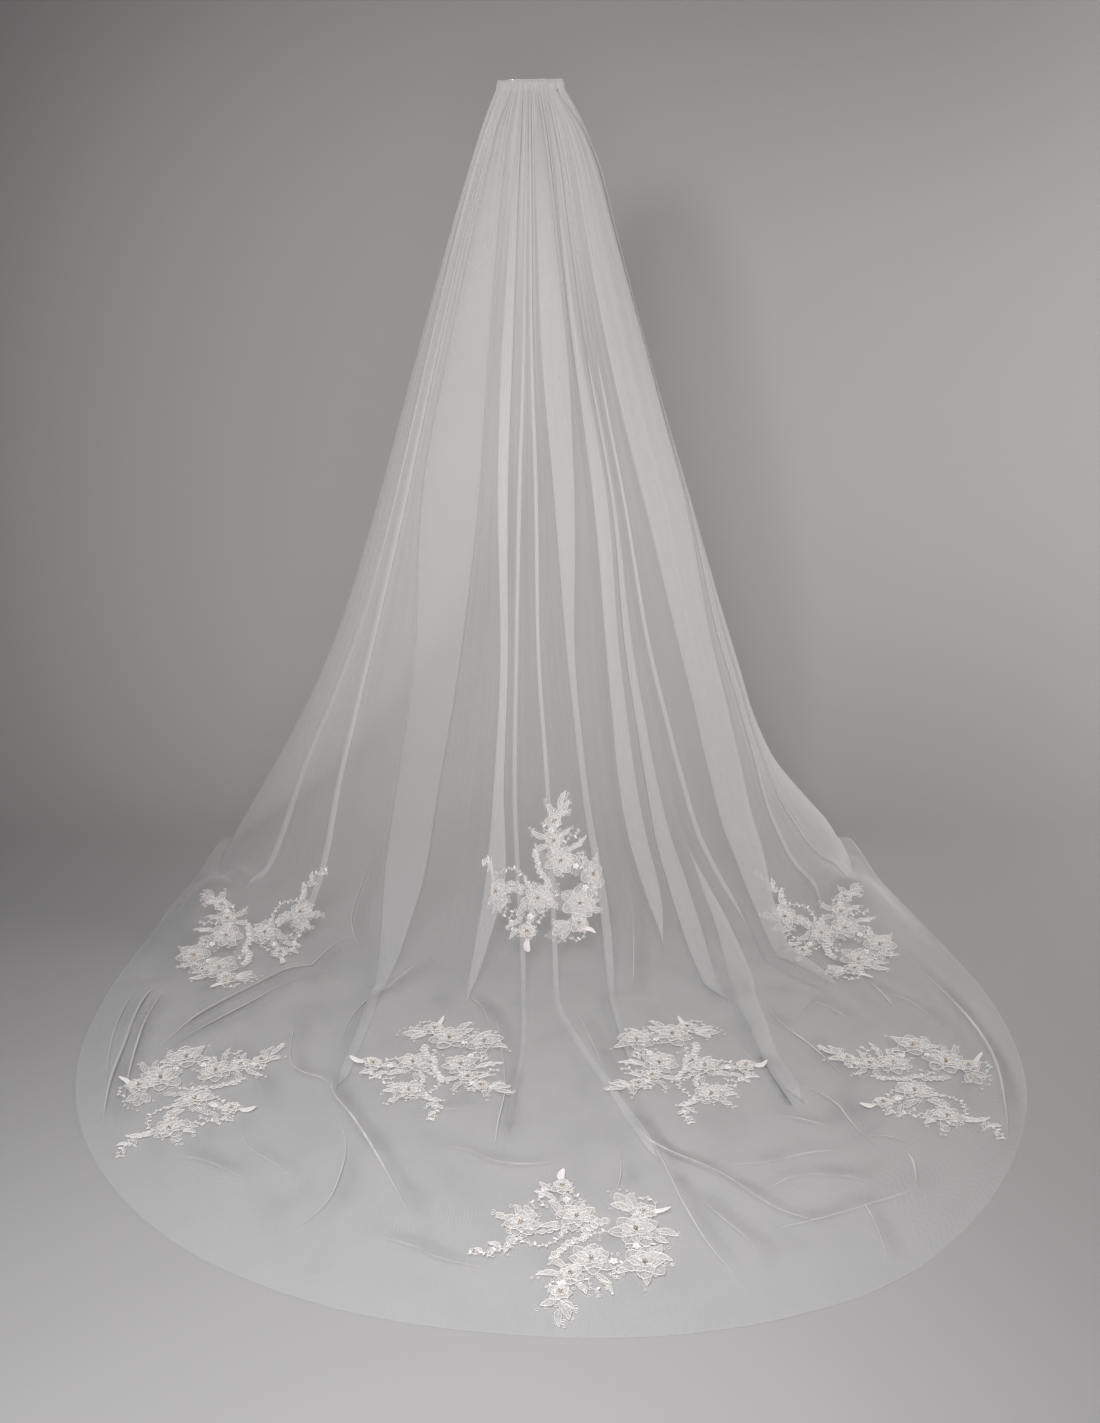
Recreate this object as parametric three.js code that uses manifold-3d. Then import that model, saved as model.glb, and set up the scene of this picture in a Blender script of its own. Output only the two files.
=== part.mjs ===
// A one-tier cathedral veil of sheer tulle, gathered on a short band and held by a hidden comb.
// It hangs open at the back, flares like a trumpet to the floor and lies there as a rounded train,
// with sixteen lace appliques sewn on in eight pairs.
// Millimetres. X runs across, -Y is the side that the train spreads to, Z is up.
// The origin is on the back face of the comb, where it is pinned on.
import * as THREE from "three";
import { mergeVertices } from "three/addons/utils/BufferGeometryUtils.js";
import Module from "manifold-3d";

const wasm = await Module();
wasm.setup();

// Driving sizes
const PIN_HEIGHT = 1648; // from the floor up to the comb
const CLOTH = 1.5; // thickness of the tulle as a solid wall
const GAP = 0.35; // clear space between neighbouring pieces
const LACE = 1.6; // thickness of a lace applique
const BAND_HEIGHT = 10;
const BAND_THICKNESS = 3;
const BAND_HALF_WIDTH = 63;
const BAND_BULGE = 12; // how far the middle of the band stands in front of its ends
const COMB_HALF_WIDTH = 45;
const COMB_THICKNESS = 3;
const COMB_SPINE_HEIGHT = 6;
const COMB_FACETS = 11;
const TEETH = 14;
const TOOTH_LENGTH = 34;
const TOOTH_WIDTH = 2.6;
const TOOTH_TIP_WIDTH = 1.4;
const TOOTH_DEPTH = 1.6;
const TEETH_HALF_SPREAD = 42.3; // from the middle of the comb to the last tooth
const EDGE_AROUND = 95; // degrees from the front of the veil to each raw side edge

// The comb's back face is at y = 0, the band lies in front of it and the cloth hangs below the band.
const BAND_OFFSET = -0.7;
const FOOT_Y = BAND_BULGE + BAND_OFFSET - GAP - COMB_THICKNESS;

// The hanging part, a row for each level: height above the floor, half spread to the left and to
// the right, and how far the front stands out.
const SECTIONS = [
  { height: PIN_HEIGHT - BAND_HEIGHT / 2 - GAP - CLOTH, left: 63, right: 63, front: BAND_BULGE },
  { height: 1576, left: 90, right: 101, front: 48 },
  { height: 1490, left: 121, right: 138, front: 84 },
  { height: 1380, left: 158, right: 168, front: 122 },
  { height: 1190, left: 218, right: 222, front: 178 },
  { height: 1000, left: 276, right: 281, front: 226 },
  { height: 810, left: 334, right: 345, front: 272 },
  { height: 600, left: 404, right: 411, front: 327 },
  { height: 450, left: 466, right: 461, front: 371 },
  { height: 333, left: 524, right: 500, front: 412 },
  { height: 220, left: 588, right: 556, front: 460 },
  { height: 130, left: 642, right: 628, front: 512 },
  { height: 60, left: 684, right: 690, front: 575 },
  { height: 18, left: 703, right: 716, front: 640 },
  { height: 0, left: 716, right: 728, front: 710 },
];
const FLOOR_LEVEL = SECTIONS.length - 1;
const HEM_LEVEL = FLOOR_LEVEL + 1;

// The hem on the floor: how far it reaches from the foot of the veil at each angle around.
const HEM = [
  { around: -95, reach: 742 },
  { around: -80, reach: 764 },
  { around: -70, reach: 818 },
  { around: -60, reach: 905 },
  { around: -50, reach: 1043 },
  { around: -40, reach: 1205 },
  { around: -30, reach: 1345 },
  { around: -20, reach: 1450 },
  { around: -10, reach: 1512 },
  { around: 0, reach: 1543 },
  { around: 10, reach: 1556 },
  { around: 20, reach: 1528 },
  { around: 30, reach: 1432 },
  { around: 40, reach: 1300 },
  { around: 50, reach: 1133 },
  { around: 60, reach: 966 },
  { around: 70, reach: 850 },
  { around: 80, reach: 784 },
  { around: 95, reach: 756 },
];

// Where the cloth is heaped up beside the folds as it reaches the floor: the top of each mound in plan,
// its height and how far it spreads.
const MOUNDS = [
  { x: -665, y: -350, height: 85, spread: 150 },
  { x: 670, y: -330, height: 75, spread: 150 },
];
const MOUND_START = 11; // the level where the mounds begin, on the way down
const MOUND_LEVELS = 2; // over how many levels they come in
const MOUND_END = 0.8; // over how much of the last level they die away towards the hem

// Lengthwise folds. Each stands proud of the cloth, and has its middle angle and its width in
// degrees at five stations from the band down to the hem.
const STATIONS = [0, 4, 7, 10.5, HEM_LEVEL];
const RISE_SHARE = [0.05, 1, 1, 0.8, 0];
const FOLDS = [
  { name: "outer left", around: [-66, -61, -61, -59, -56], width: [5, 4, 4, 5, 4], rise: 9 },
  { name: "second left", around: [-54, -52, -50, -43, -38], width: [4, 4, 4, 4, 4], rise: 7 },
  { name: "wide left", around: [-33, -33, -27, -24, -17], width: [22, 24, 16, 9, 4], rise: 16 },
  { name: "narrow left", around: [-10, -11, -7, -7, -4], width: [7, 7, 4, 6, 4], rise: 9 },
  { name: "thin middle", around: [0, 0, 2, 4, 9], width: [4, 4, 4, 4, 4], rise: 7 },
  { name: "right of middle", around: [12, 12, 11, 12, 14], width: [12, 12, 6, 4, 4], rise: 11 },
  { name: "narrow right", around: [24, 24, 25, 24, 22], width: [7, 7, 8, 5, 4], rise: 10 },
  { name: "thin right", around: [33, 32, 34, 38, 40], width: [4, 4, 4, 4, 4], rise: 7 },
  { name: "wide right", around: [55, 52, 53, 46, 25], width: [26, 26, 15, 9, 4], rise: 16 },
  { name: "outer right", around: [73, 71, 68, 67, 52], width: [4, 4, 4, 5, 4], rise: 8 },
];

const HUMP_REACH = 1.25; // where a fold's flank meets the cloth, in half widths of the fold
const HUMP_STEEPNESS = 1.6;

// Small gathers that run out of the band and die away towards the floor.
const GATHERS = 21;
const GATHER_DEPTH = [0.4, 4, 3.5, 2, 0];
const GATHER_UNEVEN = 0.3; // share by which neighbouring gathers differ in depth
const GATHER_BEAT = 0.31;

// Ridges of the cloth that lies on the floor, each from one point to another in plan. Bow is how far
// the middle of the ridge stands off the straight line.
const RIDGES = [
  { from: [-380, -500], to: [-670, -900], bow: -40, height: 11, width: 26 },
  { from: [-690, -530], to: [-690, -1080], bow: -30, height: 9, width: 24 },
  { from: [-280, -610], to: [-310, -1000], bow: -14, height: 11, width: 24 },
  { from: [-310, -1000], to: [-190, -1240], bow: 10, height: 7, width: 22 },
  { from: [-120, -610], to: [-50, -960], bow: -12, height: 10, width: 24 },
  { from: [60, -610], to: [320, -1310], bow: -46, height: 11, width: 24 },
  { from: [380, -610], to: [390, -900], bow: 0, height: 10, width: 24 },
  { from: [390, -900], to: [480, -1100], bow: -16, height: 9, width: 22 },
  { from: [740, -510], to: [790, -1050], bow: 34, height: 12, width: 26 },
  { from: [630, -630], to: [750, -860], bow: 20, height: 9, width: 24 },
  { from: [430, -970], to: [550, -1170], bow: 14, height: 8, width: 22 },
  { from: [-100, -1140], to: [80, -1180], bow: -24, height: 8, width: 22 },
];

// How finely the solid is divided.
const COLUMNS = 68;
const FLOOR_ROWS = 6;

// The two lace patterns, laid flat: flower heads, leaves and sprigs that overlap, each a small polygon
// with its middle, radius, number of corners, how much longer than wide it is, and its turn.
const LARGE = [
  { part: "horn", x: -56, y: -14, radius: 9, corners: 4, longer: 3.4, turn: 118 },
  { part: "lobed leaf", x: -31, y: -52, radius: 22, corners: 5, longer: 1.4, turn: 80 },
  { part: "rosette", x: -36, y: -18, radius: 23, corners: 5, longer: 1, turn: 20 },
  { part: "flower", x: 0, y: 0, radius: 40, corners: 6, longer: 1, turn: 53 },
  { part: "flower", x: 41, y: 54, radius: 37, corners: 6, longer: 1, turn: 53 },
  { part: "leaf", x: -22, y: 42, radius: 12, corners: 4, longer: 2.4, turn: 120 },
  { part: "scalloped leaf", x: 48, y: -22, radius: 19, corners: 5, longer: 1.6, turn: 10 },
  { part: "flower", x: 92, y: 3, radius: 33, corners: 6, longer: 1, turn: 30 },
  { part: "bud", x: 130, y: 6, radius: 24, corners: 5, longer: 1.3, turn: 20 },
  { part: "small flower", x: 165, y: 17, radius: 20, corners: 5, longer: 1, turn: 56 },
  { part: "end sprig", x: 187, y: 41, radius: 13, corners: 4, longer: 2.6, turn: 52 },
];
const SMALL = [
  { part: "flower", x: 0, y: 0, radius: 33, corners: 6, longer: 1, turn: 0 },
  { part: "leaf", x: 38, y: -10, radius: 16, corners: 5, longer: 1.8, turn: -10 },
  { part: "small flower", x: 69, y: -7, radius: 20, corners: 5, longer: 1, turn: 0 },
  { part: "blunt leaf", x: 93, y: 0, radius: 10, corners: 4, longer: 2.2, turn: 12 },
  { part: "spray", x: 32, y: -44, radius: 18, corners: 5, longer: 1.9, turn: -50 },
  { part: "arc of buds", x: -14, y: -44, radius: 18, corners: 5, longer: 1.9, turn: 80 },
  { part: "flower", x: 0, y: -85, radius: 30, corners: 6, longer: 1, turn: 18 },
  { part: "leaf", x: -28, y: -104, radius: 13, corners: 4, longer: 1.9, turn: 30 },
  { part: "tail", x: -44, y: -132, radius: 8, corners: 4, longer: 4.4, turn: 72 },
];

// Where each applique lies: the angle around and the level of its first flower, and how far the
// pattern is turned on the cloth.
const APPLIQUES = [
  { name: "large_left", pattern: LARGE, mirror: 1, around: -33, level: 14.72, turn: 71 },
  { name: "small_left", pattern: SMALL, mirror: 1, around: -28.2, level: 14.68, turn: 35 },
  { name: "large_right", pattern: LARGE, mirror: -1, around: 38.5, level: 14.73, turn: 118 },
  { name: "small_right", pattern: SMALL, mirror: -1, around: 33, level: 14.69, turn: -31 },
  { name: "large_inner_left", pattern: LARGE, mirror: 1, around: -9.6, level: 14.16, turn: -61 },
  { name: "small_inner_left", pattern: SMALL, mirror: -1, around: -12.2, level: 14.28, turn: 18 },
  { name: "large_inner_right", pattern: LARGE, mirror: -1, around: 17.1, level: 14.18, turn: -128 },
  { name: "small_inner_right", pattern: SMALL, mirror: 1, around: 18.2, level: 14.31, turn: -22 },
  { name: "large_hem", pattern: LARGE, mirror: 1, around: 6.9, level: 14.76, turn: -142 },
  { name: "small_hem", pattern: SMALL, mirror: -1, around: 3.4, level: 14.72, turn: -78 },
  { name: "large_upper_left", pattern: LARGE, mirror: 1, around: -45.7, level: 14.32, turn: 159 },
  { name: "small_upper_left", pattern: SMALL, mirror: -1, around: -48.4, level: 13.96, turn: 171 },
  { name: "large_upper_right", pattern: LARGE, mirror: -1, around: 48.8, level: 14.3, turn: 28 },
  { name: "small_upper_right", pattern: SMALL, mirror: 1, around: 50.4, level: 14.08, turn: 178 },
  { name: "large_centre", pattern: LARGE, mirror: -1, around: 8.7, level: 11.17, turn: 110 },
  { name: "small_centre", pattern: SMALL, mirror: 1, around: 1.3, level: 11.05, turn: -101 },
];

const TULLE = new THREE.MeshStandardMaterial({ color: 0xe6e4de, roughness: 0.9, metalness: 0 });
const LACE_THREAD = new THREE.MeshStandardMaterial({ color: 0xf1ede6, roughness: 0.7, metalness: 0 });
const BINDING = new THREE.MeshStandardMaterial({ color: 0xf0ede7, roughness: 0.8, metalness: 0 });
const CLEAR_COMB = new THREE.MeshStandardMaterial({ color: 0xdfe4e6, roughness: 0.2, metalness: 0 });

const radians = THREE.MathUtils.degToRad;
const clamp = THREE.MathUtils.clamp;

// A smooth curve through values at the given stations.
function smooth(stations, values, at) {
  const last = stations.length - 1;
  const x = clamp(at, stations[0], stations[last]);
  let i = 0;
  while (i < last - 1 && x > stations[i + 1]) i += 1;
  const slope = (k) => {
    const a = Math.max(k - 1, 0);
    const b = Math.min(k + 1, last);
    return (values[b] - values[a]) / (stations[b] - stations[a]);
  };
  const span = stations[i + 1] - stations[i];
  const s = (x - stations[i]) / span;
  const rise = s * s * (3 - 2 * s);
  const leave = s * (1 - s) * (1 - s) * span * slope(i);
  const arrive = -s * s * (1 - s) * span * slope(i + 1);
  return values[i] + (values[i + 1] - values[i]) * rise + leave + arrive;
}

const LEVELS = SECTIONS.map((row, i) => i);
const column = (name) => SECTIONS.map((row) => row[name]);
const HEIGHTS = column("height");
const LEFTS = column("left");
const RIGHTS = column("right");
const FRONTS = column("front");
const HEM_AROUND = HEM.map((row) => row.around);
const HEM_REACH = HEM.map((row) => row.reach);

const MIDDLE_BLEND = 0.15; // how wide the change from the left to the right spread is

function ease(x) {
  const s = clamp(x, 0, 1);
  return s * s * (3 - 2 * s);
}

// The cloth without folds: a point for an angle around and a level.
function plainCloth(around, level) {
  const angle = radians(around);
  const share = 0.5 * (1 + Math.tanh(Math.sin(angle) / MIDDLE_BLEND));
  const left = smooth(LEVELS, LEFTS, level);
  const right = smooth(LEVELS, RIGHTS, level);
  const side = left * (1 - share) + right * share;
  const front = smooth(LEVELS, FRONTS, level);
  const point = new THREE.Vector3(side * Math.sin(angle), FOOT_Y - front * Math.cos(angle), 0);
  point.z = smooth(LEVELS, HEIGHTS, level) - PIN_HEIGHT;
  if (level > FLOOR_LEVEL) {
    const reach = smooth(HEM_AROUND, HEM_REACH, around);
    const hem = new THREE.Vector3(reach * Math.sin(angle), FOOT_Y - reach * Math.cos(angle), point.z);
    point.lerp(hem, level - FLOOR_LEVEL);
  }
  const within = ease((level - MOUND_START) / MOUND_LEVELS) * ease((HEM_LEVEL - level) / MOUND_END);
  for (const mound of MOUNDS) {
    const away = Math.hypot(point.x - mound.x, point.y - mound.y) / mound.spread;
    point.z += mound.height * within * Math.exp(-away * away);
  }
  return point;
}

// Which way the cloth runs around and up at a point, and which way is out of it.
function clothFrame(around, level) {
  const across = plainCloth(around + 0.5, level).sub(plainCloth(around - 0.5, level)).normalize();
  const above = plainCloth(around, Math.max(level - 0.05, 0));
  const below = plainCloth(around, Math.min(level + 0.05, HEM_LEVEL));
  const out = new THREE.Vector3().crossVectors(across, above.sub(below)).normalize();
  const up = new THREE.Vector3().crossVectors(out, across);
  return { across, up, out };
}

// A flat-topped hump: 1 in the middle, 0 beyond its reach.
function hump(offset) {
  return ease((HUMP_REACH - Math.abs(offset)) * HUMP_STEEPNESS);
}

function foldRise(around, level) {
  const share = smooth(STATIONS, RISE_SHARE, level);
  return FOLDS.reduce((sum, fold) => {
    const middle = smooth(STATIONS, fold.around, level);
    const half = smooth(STATIONS, fold.width, level) / 2;
    return sum + fold.rise * share * hump((around - middle) / half);
  }, 0);
}

function gatherRise(around, level) {
  const turn = (around / (2 * EDGE_AROUND)) * GATHERS * 2 * Math.PI;
  const uneven = 1 - GATHER_UNEVEN * (1 - Math.sin(turn * GATHER_BEAT + 1));
  return smooth(STATIONS, GATHER_DEPTH, level) * uneven * 0.5 * (1 + Math.cos(turn));
}

function ridgeRise(x, y) {
  return RIDGES.reduce((sum, ridge) => {
    const [x0, y0] = ridge.from;
    const dx = ridge.to[0] - x0;
    const dy = ridge.to[1] - y0;
    const length = Math.hypot(dx, dy);
    const s = ((x - x0) * dx + (y - y0) * dy) / (length * length);
    if (s < 0 || s > 1) return sum;
    const aside = ((x - x0) * dy - (y - y0) * dx) / length;
    const off = (aside - ridge.bow * 4 * s * (1 - s)) / ridge.width;
    return sum + ridge.height * Math.sqrt(Math.sin(Math.PI * s)) * Math.exp(-off * off);
  }, 0);
}

// The cloth with its folds, gathers and floor ridges.
function cloth(around, level) {
  const point = plainCloth(around, level);
  const lift = foldRise(around, level) + gatherRise(around, level);
  point.addScaledVector(clothFrame(around, level).out, lift);
  const lying = clamp((level - FLOOR_LEVEL) * 8, 0, 1) * clamp((HEM_LEVEL - level) * 8, 0, 1);
  point.z += ridgeRise(point.x, point.y) * lying;
  return point;
}

function makeSolid(positions, triangles) {
  const mesh = new wasm.Mesh({
    numProp: 3,
    vertProperties: new Float32Array(positions),
    triVerts: new Uint32Array(triangles),
  });
  return new wasm.Manifold(mesh);
}

function solidFromGeometry(geometry) {
  const bare = geometry.clone();
  bare.deleteAttribute("normal");
  bare.deleteAttribute("uv");
  const merged = mergeVertices(bare, 1e-4);
  return makeSolid(merged.attributes.position.array, merged.index.array);
}

function namedMesh(name, solid, material) {
  const made = solid.getMesh();
  const geometry = new THREE.BufferGeometry();
  geometry.setAttribute("position", new THREE.BufferAttribute(new Float32Array(made.vertProperties), 3));
  geometry.setIndex(new THREE.BufferAttribute(new Uint32Array(made.triVerts), 1));
  const mesh = new THREE.Mesh(geometry, material);
  mesh.name = name;
  return mesh;
}

// The grid that both the tulle and the lace follow, with a direction out of the cloth at each point.
const rowLevels = [...LEVELS];
for (let i = 1; i <= FLOOR_ROWS; i += 1) rowLevels.push(FLOOR_LEVEL + i / FLOOR_ROWS);
const grid = rowLevels.map((level) =>
  Array.from({ length: COLUMNS + 1 }, (_, j) => {
    const around = EDGE_AROUND * ((2 * j) / COLUMNS - 1);
    return { point: cloth(around, level), around, level };
  }),
);
for (const [i, row] of grid.entries()) {
  for (const [j, node] of row.entries()) {
    const beside = row[Math.min(j + 1, COLUMNS)].point.clone().sub(row[Math.max(j - 1, 0)].point);
    const above = grid[Math.max(i - 1, 0)][j].point.clone();
    above.sub(grid[Math.min(i + 1, grid.length - 1)][j].point);
    node.out = beside.cross(above).normalize();
  }
}

// A closed wall that follows the grid between two distances out of it.
function wall(inner, outer) {
  const rows = grid.length;
  const width = COLUMNS + 1;
  const positions = [];
  for (const distance of [inner, outer]) {
    for (const row of grid) {
      for (const node of row) {
        const p = node.point.clone().addScaledVector(node.out, distance);
        positions.push(p.x, p.y, p.z);
      }
    }
  }
  const layer = rows * width;
  const id = (side, i, j) => side * layer + i * width + j;
  const triangles = [];
  const quad = (a, b, c, d) => triangles.push(a, b, c, a, c, d);
  for (let i = 0; i < rows - 1; i += 1) {
    for (let j = 0; j < COLUMNS; j += 1) {
      quad(id(1, i, j), id(1, i + 1, j), id(1, i + 1, j + 1), id(1, i, j + 1));
      triangles.push(id(0, i, j), id(0, i + 1, j + 1), id(0, i + 1, j));
      triangles.push(id(0, i, j), id(0, i, j + 1), id(0, i + 1, j + 1));
    }
    quad(id(0, i, 0), id(0, i + 1, 0), id(1, i + 1, 0), id(1, i, 0));
    quad(id(1, i, COLUMNS), id(1, i + 1, COLUMNS), id(0, i + 1, COLUMNS), id(0, i, COLUMNS));
  }
  for (let j = 0; j < COLUMNS; j += 1) {
    quad(id(1, 0, j), id(1, 0, j + 1), id(0, 0, j + 1), id(0, 0, j));
    quad(id(0, rows - 1, j), id(0, rows - 1, j + 1), id(1, rows - 1, j + 1), id(1, rows - 1, j));
  }
  return makeSolid(positions, triangles);
}

// One polygon of a lace pattern.
function petalShape({ x, y, radius, corners, longer, turn }) {
  const middle = new THREE.Vector2(x, y);
  const outline = Array.from({ length: corners }, (_, k) => {
    const angle = (k / corners) * 2 * Math.PI;
    const p = new THREE.Vector2(radius * longer * Math.cos(angle), radius * Math.sin(angle));
    return p.rotateAround(new THREE.Vector2(), radians(turn)).add(middle);
  });
  return new THREE.Shape(outline);
}

const CUT_DEPTH = 45; // how far the lace outlines are pushed through the cloth on each side

function laceCutter(pattern, grow) {
  return pattern
    .map((part) => {
      const block = new THREE.ExtrudeGeometry(petalShape({ ...part, radius: part.radius + grow }), {
        depth: 2 * CUT_DEPTH,
        bevelEnabled: false,
      });
      return solidFromGeometry(block.translate(0, 0, -CUT_DEPTH));
    })
    .reduce((all, next) => all.add(next));
}

const CUTTERS = new Map([LARGE, SMALL].map((pattern) => [pattern, laceCutter(pattern, 0)]));
const CLEARANCES = new Map([LARGE, SMALL].map((pattern) => [pattern, laceCutter(pattern, 3 * GAP)]));

// The outline of an applique brought onto the cloth.
function layOn({ pattern, mirror, around, level, turn }, cutters) {
  const { across, up, out } = clothFrame(around, level);
  const place = new THREE.Matrix4().makeBasis(across, up, out).setPosition(plainCloth(around, level));
  place.multiply(new THREE.Matrix4().makeRotationZ(radians(turn)));
  const sense = pattern === LARGE ? [1, mirror, 1] : [mirror, 1, 1];
  place.multiply(new THREE.Matrix4().makeScale(...sense));
  return cutters.get(pattern).transform(place.toArray());
}

// A strip that follows the gathered top between two distances out of it, cut square at its ends.
function topStrip({ from, to, inner, outer, low, high, facets }) {
  const ring = [];
  const at = (angle, distance) => {
    const point = new THREE.Vector2(BAND_HALF_WIDTH * Math.sin(angle), -BAND_BULGE * Math.cos(angle));
    const out = new THREE.Vector2(BAND_BULGE * Math.sin(angle), -BAND_HALF_WIDTH * Math.cos(angle));
    return point.addScaledVector(out.normalize(), distance).add(new THREE.Vector2(0, FOOT_Y));
  };
  const angles = Array.from({ length: facets + 1 }, (_, k) => radians(from + ((to - from) * k) / facets));
  for (const angle of angles) ring.push(at(angle, outer));
  for (const angle of angles.reverse()) ring.push(at(angle, inner));
  const block = new THREE.ExtrudeGeometry(new THREE.Shape(ring), { depth: high - low, bevelEnabled: false });
  return solidFromGeometry(block.translate(0, 0, low));
}

function headerBand() {
  return topStrip({
    from: -88,
    to: 88,
    inner: BAND_OFFSET,
    outer: BAND_OFFSET + BAND_THICKNESS,
    low: -BAND_HEIGHT / 2,
    high: BAND_HEIGHT / 2,
    facets: 22,
  });
}

function hairComb() {
  const span = THREE.MathUtils.radToDeg(Math.asin(COMB_HALF_WIDTH / BAND_HALF_WIDTH));
  const outer = BAND_OFFSET - GAP;
  const spine = topStrip({
    from: -span,
    to: span,
    inner: outer - COMB_THICKNESS,
    outer,
    low: -COMB_SPINE_HEIGHT / 2,
    high: COMB_SPINE_HEIGHT / 2,
    facets: COMB_FACETS,
  });
  const teeth = Array.from({ length: TEETH }, (_, k) => {
    const x = TEETH_HALF_SPREAD * ((2 * k) / (TEETH - 1) - 1);
    const y = FOOT_Y - BAND_BULGE * Math.sqrt(1 - (x / BAND_HALF_WIDTH) ** 2) - outer + COMB_THICKNESS / 2;
    const outline = new THREE.Shape([
      new THREE.Vector2(x - TOOTH_WIDTH / 2, 0),
      new THREE.Vector2(x - TOOTH_TIP_WIDTH / 2, -TOOTH_LENGTH),
      new THREE.Vector2(x + TOOTH_TIP_WIDTH / 2, -TOOTH_LENGTH),
      new THREE.Vector2(x + TOOTH_WIDTH / 2, 0),
    ]);
    const block = new THREE.ExtrudeGeometry(outline, { depth: TOOTH_DEPTH, bevelEnabled: false });
    block.translate(0, 0, -TOOTH_DEPTH / 2).rotateX(Math.PI / 2).translate(0, y, 0);
    return solidFromGeometry(block);
  });
  return teeth.reduce((all, next) => all.add(next), spine);
}

const veil = new THREE.Group();
veil.add(namedMesh("tulle_drape", wall(0, CLOTH), TULLE));
veil.add(namedMesh("header_band", headerBand(), BINDING));
veil.add(namedMesh("hair_comb", hairComb(), CLEAR_COMB));
const laceLayer = wall(CLOTH + GAP, CLOTH + GAP + LACE);
for (const [i, row] of APPLIQUES.entries()) {
  // A small applique is trimmed where it meets the large one of its pair.
  const outline = layOn(row, CUTTERS);
  const trimmed = row.pattern === SMALL ? outline.subtract(layOn(APPLIQUES[i - 1], CLEARANCES)) : outline;
  veil.add(namedMesh(`lace_${row.name}`, trimmed.intersect(laceLayer), LACE_THREAD));
}

export default veil;
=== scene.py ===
import math

import bmesh
import bpy
import numpy as np
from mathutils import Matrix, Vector
from mathutils.bvhtree import BVHTree


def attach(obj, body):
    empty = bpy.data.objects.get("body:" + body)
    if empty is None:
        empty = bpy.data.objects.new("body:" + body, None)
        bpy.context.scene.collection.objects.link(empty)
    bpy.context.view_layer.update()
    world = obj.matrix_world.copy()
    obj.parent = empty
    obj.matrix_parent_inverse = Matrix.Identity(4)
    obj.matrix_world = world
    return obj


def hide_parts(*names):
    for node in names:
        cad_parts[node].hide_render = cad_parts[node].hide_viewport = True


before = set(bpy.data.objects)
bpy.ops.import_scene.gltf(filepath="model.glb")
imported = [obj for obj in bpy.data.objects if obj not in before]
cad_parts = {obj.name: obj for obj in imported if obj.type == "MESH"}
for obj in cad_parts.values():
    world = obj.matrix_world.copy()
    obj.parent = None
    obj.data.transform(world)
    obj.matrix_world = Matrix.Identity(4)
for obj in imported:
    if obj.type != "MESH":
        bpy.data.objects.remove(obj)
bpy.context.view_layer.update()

bl_info = {
    "name": "Lace-trimmed tulle veil",
    "version": (1, 0, 0),
    "blender": (4, 5, 0),
    "location": "3D View > Sidebar > Veil",
    "description": "Dresses the veil's frame with sheer tulle, corded lace, a gathered band and a comb",
    "category": "Object",
}

MM = 0.001


def table(names, *rows):
    """Rows of values under the given names; a row may leave out the last ones."""
    return [dict(zip(names.split(), row)) for row in rows]


# The cloth, as in the frame: millimetres from the floor up and out from the foot of the veil.
PIN_HEIGHT = 1648
FOOT_Y = 7.95
BAND_BULGE = 12
EDGE_AROUND = 95  # degrees from the front to each raw side edge

SECTIONS = table(
    "height left right front",
    (1641.1, 63, 63, 12), (1576, 90, 101, 48), (1490, 121, 138, 84), (1380, 158, 168, 122),
    (1190, 218, 222, 178), (1000, 276, 281, 226), (810, 334, 345, 272), (600, 404, 411, 327),
    (450, 466, 461, 371), (333, 524, 500, 412), (220, 588, 556, 460), (130, 642, 628, 512),
    (60, 684, 690, 575), (18, 703, 716, 640), (0, 716, 728, 710))
FLOOR_LEVEL = len(SECTIONS) - 1
HEM_LEVEL = FLOOR_LEVEL + 1

HEM = {
    "around": [-95, -80, -70, -60, -50, -40, -30, -20, -10, 0,
               10, 20, 30, 40, 50, 60, 70, 80, 95],
    "reach": [742, 764, 818, 905, 1043, 1205, 1345, 1450, 1512, 1543,
              1556, 1528, 1432, 1300, 1133, 966, 850, 784, 756],
}

# Where the cloth is heaped up beside the folds as it reaches the floor: the top of each mound in plan, its
# height and how far it spreads, in millimetres.
MOUNDS = table("x y height spread", (-665, -350, 85, 150), (670, -330, 75, 150))
MOUND_START = 11  # the level where the mounds begin, on the way down
MOUND_LEVELS = 2  # levels over which they reach their full height
MOUND_END = 0.8  # levels over which they die away before the hem
MIDDLE_BLEND = 0.15  # how softly the left side's reach passes into the right side's

# The band, also as in the frame: a pleated sleeve sewn with two lines of stitches, in millimetres.
BAND_HALF_WIDTH = 63
BAND_HEIGHT = 10
BAND_THICKNESS = 3
BAND_MIDDLE = 0.8  # how far out of its guiding line the middle of the band lies
BAND_LENGTH = 2.2 * BAND_HALF_WIDTH
BAND_GIRTH = 25
BAND_SQUARE = 0.7  # 1 would make its section round, and less makes it squarer
BAND_LOW = 0.6  # how far the sleeve hangs under its line
PLEAT_OUT, PLEAT_UP, RIPPLE_UP = 0.25, 0.45, 0.5  # how far a pleat stands out and up, and a ripple up
OUT_ROOM, UP_ROOM = 0.5, 1.3  # kept free for them inside the band's size
BAND_RINGS = 420  # rings from end to end
BAND_SIDES = 17  # points round each ring
BAND_PLEATS = 58
BAND_SEAMS = [1.4, -3.0]  # heights of the two lines of stitches
SEAM_POINTS = 90
STITCH_SHARE = 0.4  # half the length of a stitch, as a share of their spacing
WELD_REACH = 0.00001  # metres
BAND_DROP = -3.4  # where the top row of the tulle ends, inside the band
BAND_TILT = 1.5  # how far the band rises to the right and falls to the left

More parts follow.
